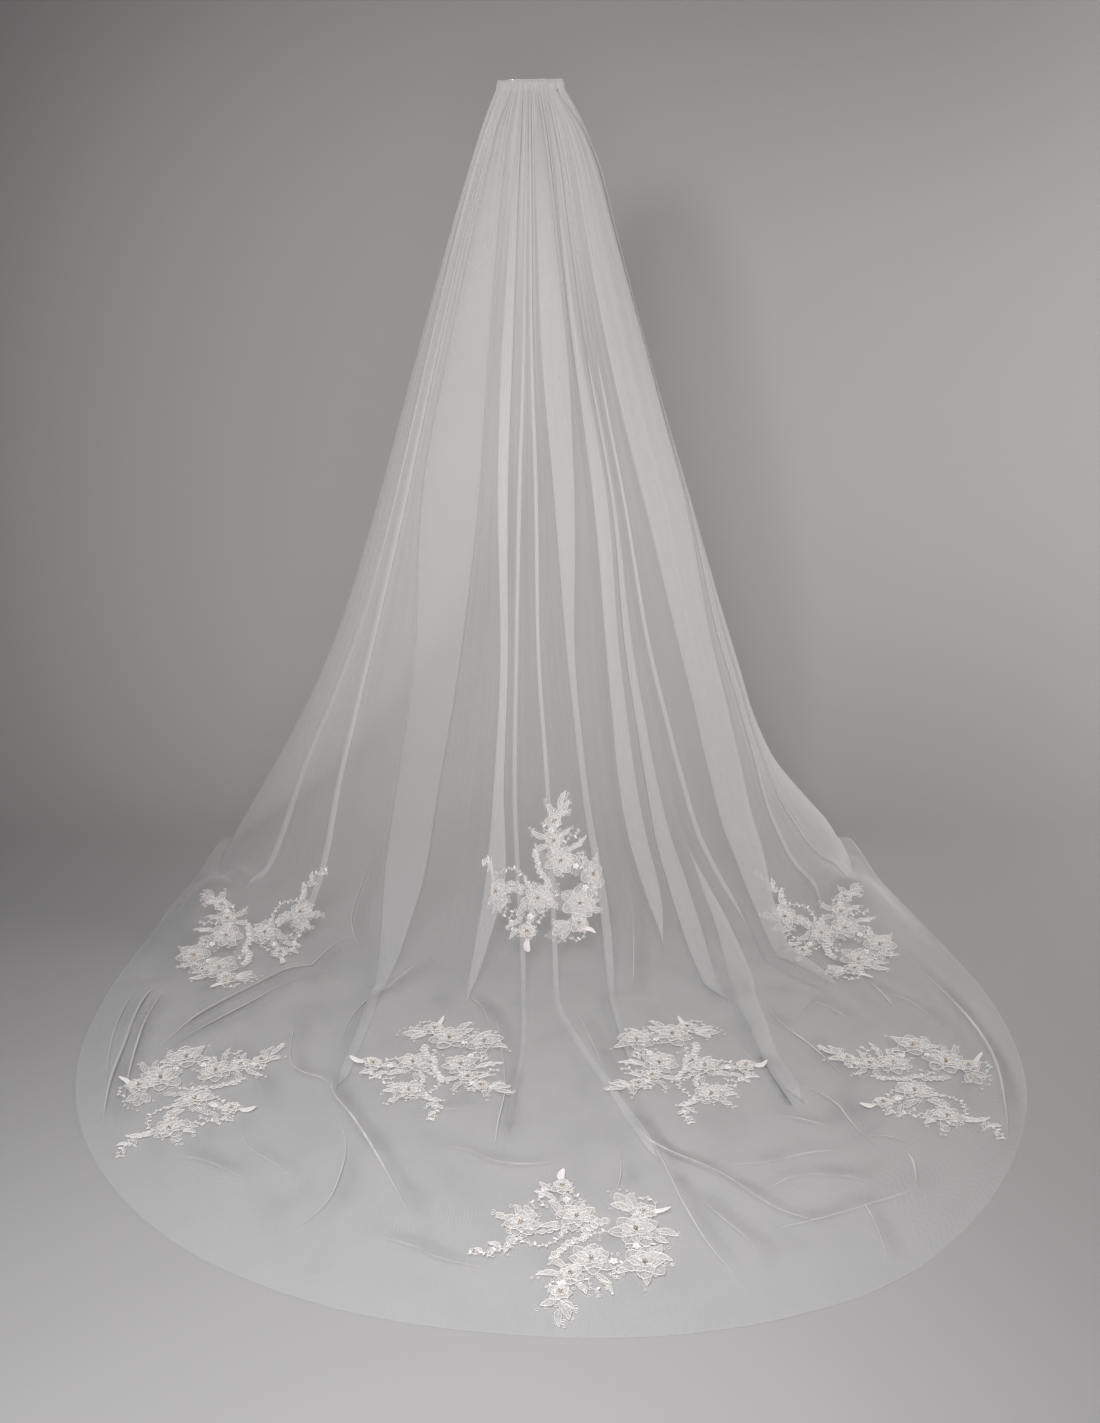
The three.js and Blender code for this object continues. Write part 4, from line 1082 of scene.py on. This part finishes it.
def lace_materials(settings):
    """The five finishes of the lace."""
    made = {}
    made["net"], tree, shader = new_material("lace petal net", {"Roughness": 0.6, "Sheen Weight": 0.3})
    where = node(tree, "ShaderNodeTexCoord").outputs["Object"]
    fac = thread_bump(tree, shader, 900.0, 0.6, 0.0006)
    patchy = node(tree, "ShaderNodeTexNoise", {"Vector": where, "Scale": 300.0, "Detail": 3.0})
    worked = node(tree, "ShaderNodeMapRange", {"Value": patchy.outputs["Fac"], "From Min": 0.36, "From Max": 0.62,
                                               "To Min": settings.petal_cover - 0.14,
                                               "To Max": settings.petal_cover + 0.14})
    cover = node(tree, "ShaderNodeAttribute", attribute_name="cover").outputs["Fac"]
    tree.links.new(math_node(tree, "MULTIPLY", worked.outputs["Result"], cover, clamp=True), shader.inputs["Alpha"])
    two_tone(tree, shader, fac, [c * 0.9 for c in settings.fill], settings.fill)
    for name, label, scale, rough in (
            ("satin", "lace satin stitch", 1300.0, 0.4), ("cord", "lace cord", 1600.0, 0.5)):
        made[name], tree, shader = new_material(label, {"Roughness": rough, "Sheen Weight": 0.2})
        fac = thread_bump(tree, shader, scale, 0.5, 0.0004)
        two_tone(tree, shader, fac, [c * 0.9 for c in settings.thread], settings.thread)
    for name, label, dark, light, metal in (
            ("bead", "clear seed bead", [c * 0.75 for c in settings.bead], settings.bead, 0.0),
            ("crystal", "gold crystal", settings.crystal, settings.glint, 0.35)):
        made[name], tree, shader = new_material(label, {"Roughness": 0.12, "Metallic": metal, "Coat Weight": 0.5})
        where = node(tree, "ShaderNodeTexCoord").outputs["Object"]
        noise = node(tree, "ShaderNodeTexNoise", {"Vector": where, "Scale": 420.0})
        mottle = node(tree, "ShaderNodeMapRange",
                      {"Value": noise.outputs["Fac"], "From Min": 0.42, "From Max": 0.66})
        two_tone(tree, shader, mottle.outputs["Result"], dark, light)
    return made


def band_line(around, offset):
    """Points along the band, in millimetres, for angles in radians and a distance out of the band's middle."""
    along = np.stack([BAND_HALF_WIDTH * np.sin(around), -BAND_BULGE * np.cos(around)], axis=-1)
    out = unit(np.stack([BAND_BULGE * np.sin(around), -BAND_HALF_WIDTH * np.cos(around)], axis=-1))
    return along + out * offset[..., None] + np.array([0, FOOT_Y])


def gathered_band():
    """The band's pleated sleeve: a grid of points in millimetres, ring by ring from end to end."""
    share = np.linspace(0, 1, BAND_RINGS)
    around = (share[:, None] - 0.5) * math.pi
    round_it = np.linspace(0, 2 * np.pi, BAND_SIDES)[None, :]
    pleat = np.cos(2 * np.pi * BAND_PLEATS * share + 1.4 * np.sin(9 * share))[:, None]
    ripple = (np.sin(23 * share) + 0.6 * np.sin(51 * share + 1))[:, None]
    end = np.minimum(1, 0.25 + np.minimum(share, 1 - share) * 60)[:, None]
    thick = (BAND_THICKNESS / 2 - OUT_ROOM + PLEAT_OUT * pleat) * end
    tall = (BAND_HEIGHT / 2 - UP_ROOM + RIPPLE_UP * ripple + PLEAT_UP * pleat) * end
    side, up = np.cos(round_it), np.sin(round_it)
    offset = BAND_MIDDLE + thick * np.sign(side) * np.abs(side) ** BAND_SQUARE
    height = tall * np.sign(up) * np.abs(up) ** BAND_SQUARE + BAND_TILT * np.sin(around) - BAND_LOW
    flat = band_line(np.broadcast_to(around, offset.shape), offset)
    return np.concatenate([flat, height[..., None]], axis=-1), share


def stitched_line(height):
    """A line of points along the front of the band."""
    around = np.linspace(-0.46, 0.46, SEAM_POINTS) * math.pi
    flat = band_line(around, np.full(SEAM_POINTS, BAND_MIDDLE + BAND_THICKNESS / 2))
    wave = height + 0.25 * np.sin(around * 31) + BAND_TILT * np.sin(around)
    return np.concatenate([flat, wave[:, None]], axis=-1)


def stitch_tree(cloth, thread):
    """Geometry nodes that keep the band's faces and sew stitches along its loose edges."""
    tree, given, result = new_group(
        "Band stitching", [("Geometry", "Geometry"), ("Spacing", "Float"), ("Thread radius", "Float")],
        [("Geometry", "Geometry")], "GeometryNodeTree")
    is_sewn = node(tree, "FunctionNodeCompare", {0: attribute(tree, "sewn"), 1: 0.5},
                   data_type="FLOAT", operation="GREATER_THAN")
    parts = node(tree, "GeometryNodeSeparateGeometry",
                 {"Geometry": given.outputs["Geometry"], "Selection": is_sewn.outputs[0]}, domain="POINT")
    curve = node(tree, "GeometryNodeMeshToCurve", {"Mesh": parts.outputs["Selection"]}).outputs["Curve"]
    spots = node(tree, "GeometryNodeCurveToPoints", {"Curve": curve, "Length": given.outputs["Spacing"]},
                 mode="LENGTH")
    ball = node(tree, "GeometryNodeMeshUVSphere", {"Segments": 8, "Rings": 6, "Radius": 1.0}).outputs["Mesh"]
    thick = given.outputs["Thread radius"]
    length = math_node(tree, "MULTIPLY", given.outputs["Spacing"], STITCH_SHARE)
    size = node(tree, "ShaderNodeCombineXYZ", {"X": thick, "Y": thick, "Z": length})
    laid = node(tree, "GeometryNodeInstanceOnPoints",
                {"Points": spots.outputs["Points"], "Instance": ball, "Rotation": spots.outputs["Rotation"],
                 "Scale": size.outputs["Vector"]})
    real = node(tree, "GeometryNodeRealizeInstances", {"Geometry": laid.outputs["Instances"]})
    stitches = finished(tree, real.outputs["Geometry"], thread)
    sleeve = finished(tree, parts.outputs["Inverted"], cloth, soft=False)
    return joined(tree, [stitches, sleeve], result)


def binding_material(settings):
    """Tulle gathered so tightly that little shows through, with fine creases down it, painted darker in their
    hollows and lighter on their ridges.
    """
    material, tree, shader = new_material("gathered binding", {"Roughness": 0.85, "Sheen Weight": 0.2})
    creases = stretched(tree, node(tree, "ShaderNodeUVMap", uv_map="flat").outputs["UV"], (1, 0.06, 1))
    fac = thread_bump(tree, shader, 700.0, 0.5, 0.0006, creases, roughness=0.5)
    # Painted shade in the hollows of the creases and a painted highlight on their ridges, following the bump.
    two_tone(tree, shader, fac, [c * 0.8 for c in settings.colour], [min(c * 1.12, 1) for c in settings.colour])
    cover = node(tree, "ShaderNodeMapRange", {"Value": fac, "From Min": 0.3, "From Max": 0.7,
                                              "To Min": 0.4, "To Max": 0.8})
    tree.links.new(cover.outputs["Result"], shader.inputs["Alpha"])
    return material


def comb_material(settings):
    """Clear moulded plastic with faint flow lines."""
    material, tree, shader = new_material(
        "clear comb plastic", {"Base Color": (*settings.plastic, 1), "Transmission Weight": 0.85, "IOR": 1.49})
    flow = stretched(tree, node(tree, "ShaderNodeTexCoord").outputs["Object"], (1, 1, 0.15))
    fac = thread_bump(tree, shader, 240.0, 0.2, 0.0002, flow, detail=2.0, roughness=0.5)
    rough = node(tree, "ShaderNodeMapRange", {"Value": fac, "To Min": 0.08, "To Max": 0.28})
    tree.links.new(rough.outputs["Result"], shader.inputs["Roughness"])
    return material


def colour_setting(name, description, default):
    return bpy.props.FloatVectorProperty(name=name, description=description, default=default, subtype="COLOR",
                                         size=3, min=0, max=1)


class VeilTulleSettings(bpy.types.PropertyGroup):
    """The tulle's finish."""

    colour: colour_setting("Tulle colour", "Colour of the thread", (0.765, 0.774, 0.776))
    # The colour of the painted highlight on the tucks' crests.
    crest: colour_setting("Crest colour", "Colour of the cloth on the lit crest of a tuck", (0.92, 0.91, 0.905))
    # The colour of the painted shade in creases, by the band and on the darker sides of waves and tucks.
    shade: colour_setting("Crease shade", "Colour of the cloth deep in a crease", (0.22, 0.22, 0.22))
    cover: bpy.props.FloatProperty(
        name="Cover", description="Share of the view that one flat layer hides", default=0.24, min=0, max=1,
        subtype="FACTOR")
    # Extra layers on each tuck's crest, which carry its painted highlight.
    tuck_white: bpy.props.FloatProperty(
        name="Tuck white", description="Extra layers of cloth in the crest of each tuck on the floor", default=1.95,
        min=0)
    # Extra layers in each crease, which carry its painted shade.
    crease_painted_shade: bpy.props.FloatProperty(
        name="Crease dark", description="Extra layers of shaded cloth in the crease beside each tuck", default=1.7,
        min=0)
    net_width: bpy.props.FloatProperty(
        name="Net width", description="Width of one mesh of the net", default=0.0018, min=0.0005, unit="LENGTH")


class VeilLaceSettings(bpy.types.PropertyGroup):
    """The lace's finish."""

    thread: colour_setting("Lace thread", "Colour of the lace", (1.0, 0.98, 0.955))
    fill: colour_setting("Lace fill", "Colour of the softer net inside the petals", (0.9, 0.885, 0.87))
    bead: colour_setting("Seed beads", "Colour of the seed beads", (0.93, 0.92, 0.9))
    crystal: colour_setting("Crystals", "Colour of the crystals in the flowers", (0.36, 0.25, 0.15))
    glint: colour_setting("Pale crystals", "Colour of the palest crystals", (0.8, 0.72, 0.62))
    petal_cover: bpy.props.FloatProperty(
        name="Petal cover", description="How closely the petals are filled", default=0.5, min=0.2, max=0.85,
        subtype="FACTOR")
    cord_sides: bpy.props.IntProperty(
        name="Cord sides", description="Sides of each cord", default=4, min=3, max=12)
    bead_rings: bpy.props.IntProperty(
        name="Bead rings", description="Rings of each bead", default=4, min=3, max=12)


class VeilBandSettings(bpy.types.PropertyGroup):
    """The gathered band's and the comb's finish."""

    colour: colour_setting("Binding colour", "Colour of the gathered binding", (0.62, 0.615, 0.61))
    thread: colour_setting("Sewing thread", "Colour of the stitches along the binding", (0.86, 0.85, 0.83))
    plastic: colour_setting("Comb plastic", "Tint of the clear comb", (0.93, 0.94, 0.93))
    stitch_spacing: bpy.props.FloatProperty(
        name="Stitch spacing", description="From one stitch to the next", default=0.0028, min=0.001, unit="LENGTH")
    thread_radius: bpy.props.FloatProperty(
        name="Thread radius", description="Half the thickness of the sewing thread", default=0.00028, min=0.0001,
        unit="LENGTH")


class VeilStudioSettings(bpy.types.PropertyGroup):
    """The studio round the veil."""

    floor_colour: colour_setting("Floor colour", "Colour of the floor and backdrop", (0.45, 0.45, 0.45))
    eye_height: bpy.props.FloatProperty(
        name="Eye height", description="Height of the camera above the floor", default=1.3616, unit="LENGTH")
    eye_distance: bpy.props.FloatProperty(
        name="Eye distance", description="Distance from the camera to the foot of the veil", default=3.04,
        unit="LENGTH")
    eye_aside: bpy.props.FloatProperty(
        name="Eye aside", description="How far the camera stands to the right", default=0.039, unit="LENGTH")
    tilt: bpy.props.FloatProperty(
        name="Tilt", description="How far the camera looks down", default=math.radians(18.55), subtype="ANGLE")
    lens: bpy.props.FloatProperty(
        name="Lens", description="Focal length on a 36 mm long side", default=35.92, min=10, max=200)


# The floor and backdrop are one sheet of paper, in metres: it runs back from the front edge, and curves up
# from its start to the top.
FLOOR_GAP = 0.001  # under the cloth
SWEEP_FRONT, SWEEP_START, SWEEP_RADIUS, SWEEP_TOP, SWEEP_HALF = -9.0, 0.14, 1.25, 5.0, 7.0
SWEEP_STEPS = 32
SENSOR_WIDTH = 36  # millimetres
SHEER_LAYERS = 48  # layers of net that a line of sight may pass through


class VEIL_OT_studio(bpy.types.Operator):
    """Add the floor, the backdrop, the lights and the camera"""

    bl_idname = "veil.studio"
    bl_label = "Studio"

    def execute(self, context):
        settings = context.scene.veil_studio
        floor = -PIN_HEIGHT * MM - FLOOR_GAP
        profile = [(SWEEP_FRONT, 0.0), (SWEEP_START, 0.0)]
        for k in range(1, SWEEP_STEPS + 1):
            angle = math.pi / 2 * k / SWEEP_STEPS
            profile.append((SWEEP_START + SWEEP_RADIUS * math.sin(angle), SWEEP_RADIUS * (1 - math.cos(angle))))
        profile.append((SWEEP_START + SWEEP_RADIUS, SWEEP_TOP))
        points = [(x, y, floor + z) for y, z in profile for x in (-SWEEP_HALF, SWEEP_HALF)]
        faces = [(2 * k, 2 * k + 1, 2 * k + 3, 2 * k + 2) for k in range(len(profile) - 1)]
        sweep = mesh_object("studio_sweep", points, faces)
        material, tree, shader = new_material("backdrop paper", {
            "Base Color": (*settings.floor_colour, 1), "Roughness": 0.9, "Specular IOR Level": 0.2})
        # Seen from behind, the paper lets the view through to the veil.
        side = node(tree, "ShaderNodeNewGeometry")
        front = math_node(tree, "SUBTRACT", 1.0, side.outputs["Backfacing"])
        tree.links.new(front, shader.inputs["Alpha"])
        sweep.data.materials.append(material)
        add_lights()
        camera = bpy.data.objects.new("camera", bpy.data.cameras.new("camera"))
        camera.data.lens = settings.lens
        camera.data.sensor_width = SENSOR_WIDTH
        camera.location = (settings.eye_aside, FOOT_Y * MM - settings.eye_distance,
                           settings.eye_height - PIN_HEIGHT * MM)
        camera.rotation_euler = (math.pi / 2 - settings.tilt, 0, 0)
        context.scene.collection.objects.link(camera)
        context.scene.camera = camera
        context.scene.cycles.transparent_max_bounces = SHEER_LAYERS
        context.scene.view_settings.view_transform = "Standard"
        return {"FINISHED"}


# The lamps of the studio: soft boxes have a size, and the spot lamps also a cone in degrees.
LIGHTS = table(
    "name at to size cone power colour",
    ("front softbox", (-0.2, -3.1, 0.7), (-0.1, -2.0, -1.65), 1.0, 0, 68, (1.0, 0.98, 0.985)),
    ("right softbox", (2.9, -0.3, -0.2), (1.1, 1.35, -0.75), 0.9, 0, 34, (1.0, 0.93, 0.88)),
    ("backdrop wash", (-0.77, -2.9, 0.34), (-0.25, 1.35, -0.86), 0.2, 50, 168, (1.0, 0.905, 0.86)),
    ("backdrop pool", (1.4, -2.4, 0.6), (1.1, 1.35, -0.78), 0.35, 33, 46, (1.0, 0.945, 0.915)),
    ("floor pool", (-0.3, -2.9, 1.4), (-0.3, -1.85, -1.65), 0.35, 42, 106, (0.985, 0.975, 1.0)),
    ("low fill", (0.1, -3.1, -0.5), (0.05, 0.6, -1.35), 0.35, 66, 62, (1.0, 0.95, 0.93)))


AIR_COLOUR, AIR_STRENGTH = (0.9, 0.92, 0.95, 1), 0.02


def add_lights():
    for row in LIGHTS:
        lamp = bpy.data.lights.new(row["name"], "SPOT" if row["cone"] else "AREA")
        if row["cone"]:
            lamp.spot_size = math.radians(row["cone"])
            lamp.spot_blend = 1.0
            lamp.shadow_soft_size = row["size"]
        else:
            lamp.shape = "SQUARE"
            lamp.size = row["size"]
        lamp.energy = row["power"]
        lamp.color = row["colour"]
        holder = bpy.data.objects.new(row["name"], lamp)
        holder.location = row["at"]
        aim = Vector(row["to"]) - Vector(row["at"])
        holder.rotation_euler = aim.to_track_quat("-Z", "Y").to_euler()
        bpy.context.scene.collection.objects.link(holder)
    world = bpy.data.worlds.new("studio air")
    world.use_nodes = True
    air = world.node_tree.nodes["Background"]
    air.inputs["Color"].default_value = AIR_COLOUR
    air.inputs["Strength"].default_value = AIR_STRENGTH
    bpy.context.scene.world = world


class VEIL_OT_tulle(bpy.types.Operator):
    """Make the gathered and folded tulle"""

    bl_idname = "veil.tulle"
    bl_label = "Tulle"

    def execute(self, context):
        points, across, down, gather, tone = drape()
        rows, columns = points.shape[:2]
        uv = np.stack(np.broadcast_arrays(across[None, :], -down[:, None]), axis=-1)
        vertices, faces = [points.reshape(-1, 3)], [grid_faces(rows, columns)]
        flats, whites, tones = [uv.reshape(-1, 2)], [gather.ravel()], [tone.ravel()]
        for tuck in TUCKS:
            strip, crest, crease = tuck_strip(tuck)
            faces.append(grid_faces(*crest.shape)[:, ::-1] + sum(len(part) for part in vertices))
            vertices.append(strip.reshape(-1, 3) * MM)
            flats.append(vertices[-1][:, :2])
            # The crest's painted highlight and the crease's painted shade add layers of cloth, and tone runs from
            # the painted shade to the painted highlight.
            extra = context.scene.veil_tulle.tuck_white * crest + context.scene.veil_tulle.crease_painted_shade * crease
            whites.append((extra - 1 + np.maximum(crest, crease)).ravel())
            tones.append(((crest - crease) / np.maximum(crest + crease, 0.01)).ravel())
        piece = mesh_object("veil_tulle", np.concatenate(vertices), np.concatenate(faces), uv=np.concatenate(flats),
                            attributes={"gather": np.concatenate(whites), "tone": np.concatenate(tones)})
        piece.data.materials.append(tulle_material(context.scene.veil_tulle))
        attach(piece, "root")
        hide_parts("tulle_drape")
        return {"FINISHED"}


class VEIL_OT_band(bpy.types.Operator):
    """Make the gathered band that the tulle hangs from, and finish the comb behind it"""

    bl_idname = "veil.band"
    bl_label = "Band and comb"

    def execute(self, context):
        settings = context.scene.veil_band
        sleeve, share = gathered_band()
        rings, sides = sleeve.shape[:2]
        faces = [tuple(int(k) for k in face) for face in grid_faces(rings, sides)]
        faces += [tuple(range(sides - 1))[::-1], tuple((rings - 1) * sides + k for k in range(sides - 1))]
        points, edges = list(sleeve.reshape(-1, 3)), []
        for height in BAND_SEAMS:
            line = stitched_line(height)
            edges += [(len(points) + k, len(points) + k + 1) for k in range(len(line) - 1)]
            points += list(line)
        along, round_it = share[:, None] * BAND_LENGTH * MM, np.linspace(0, BAND_GIRTH * MM, sides)[None, :]
        flat = np.zeros((len(points), 2))
        flat[:rings * sides] = np.stack(np.broadcast_arrays(along, round_it), axis=-1).reshape(-1, 2)
        piece = mesh_object("veil_band", np.array(points) * MM, faces, edges, flat,
                            {"sewn": np.arange(len(points)) >= rings * sides})
        weld = bmesh.new()
        weld.from_mesh(piece.data)
        bmesh.ops.remove_doubles(weld, verts=weld.verts, dist=WELD_REACH)
        bmesh.ops.recalc_face_normals(weld, faces=weld.faces)
        weld.to_mesh(piece.data)
        weld.free()
        thread, tree, shader = new_material("sewing thread")
        fac = thread_bump(tree, shader, 2400.0, 0.4, 0.0002)
        two_tone(tree, shader, fac, [c * 0.85 for c in settings.thread], settings.thread)
        apply_tree(piece, stitch_tree(binding_material(settings), thread),
                   {"Spacing": settings.stitch_spacing, "Thread radius": settings.thread_radius})
        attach(piece, "root")
        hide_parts("header_band")
        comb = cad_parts["hair_comb"]
        comb.data.materials.clear()
        comb.data.materials.append(comb_material(settings))
        return {"FINISHED"}


class VEIL_OT_lace(bpy.types.Operator):
    """Make the corded lace appliques and lay them on the tulle"""

    bl_idname = "veil.lace"
    bl_label = "Lace"

    def execute(self, context):
        settings = context.scene.veil_lace
        tulle = bpy.data.objects["veil_tulle"]
        cloth = BVHTree.FromObject(tulle, context.evaluated_depsgraph_get())
        tree = lace_tree(lace_materials(settings))
        drawn = {"large": (LARGE, sketch(LARGE, 4)), "small": (SMALL, sketch(SMALL, 9))}
        for row in APPLIQUES:
            pattern, made = drawn[row["name"].split("_")[0]]
            points = lay_on_cloth(made, pattern, row, cloth)
            # A mirrored pattern's faces are turned over, so that they still face out.
            faces = made.faces if row["mirror"] > 0 else [face[::-1] for face in made.faces]
            piece = mesh_object("applique_" + row["name"], points, faces, made.edges, attributes={
                "kind": made.kind, "thickness": np.array(made.radius) * MM, "cover": made.cover})
            apply_tree(piece, tree, {"Cord sides": settings.cord_sides, "Bead rings": settings.bead_rings})
            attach(piece, "root")
            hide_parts("lace_" + row["name"])
        return {"FINISHED"}


class VEIL_PT_parts(bpy.types.Panel):
    """Everything that the veil is made of"""

    bl_label = "Veil"
    bl_idname = "VEIL_PT_parts"
    bl_space_type = "VIEW_3D"
    bl_region_type = "UI"
    bl_category = "Veil"

    def draw(self, context):
        for group in SETTINGS:
            settings = getattr(context.scene, group)
            for name in settings.bl_rna.properties.keys():
                if name not in ("name", "rna_type"):
                    self.layout.prop(settings, name)
        for operator in OPERATORS:
            self.layout.operator(operator.bl_idname)


OPERATORS = [VEIL_OT_studio, VEIL_OT_tulle, VEIL_OT_band, VEIL_OT_lace]
SETTINGS = {"veil_tulle": VeilTulleSettings, "veil_lace": VeilLaceSettings, "veil_band": VeilBandSettings,
            "veil_studio": VeilStudioSettings}
CLASSES = [*SETTINGS.values(), *OPERATORS, VEIL_PT_parts]


def register():
    for made in CLASSES:
        bpy.utils.register_class(made)
    for name, made in SETTINGS.items():
        setattr(bpy.types.Scene, name, bpy.props.PointerProperty(type=made))


def unregister():
    for name in SETTINGS:
        delattr(bpy.types.Scene, name)
    for made in reversed(CLASSES):
        bpy.utils.unregister_class(made)


def main():
    register()
    bpy.ops.veil.studio()
    bpy.ops.veil.tulle()
    bpy.ops.veil.band()
    bpy.ops.veil.lace()


if __name__ == "__main__":
    main()
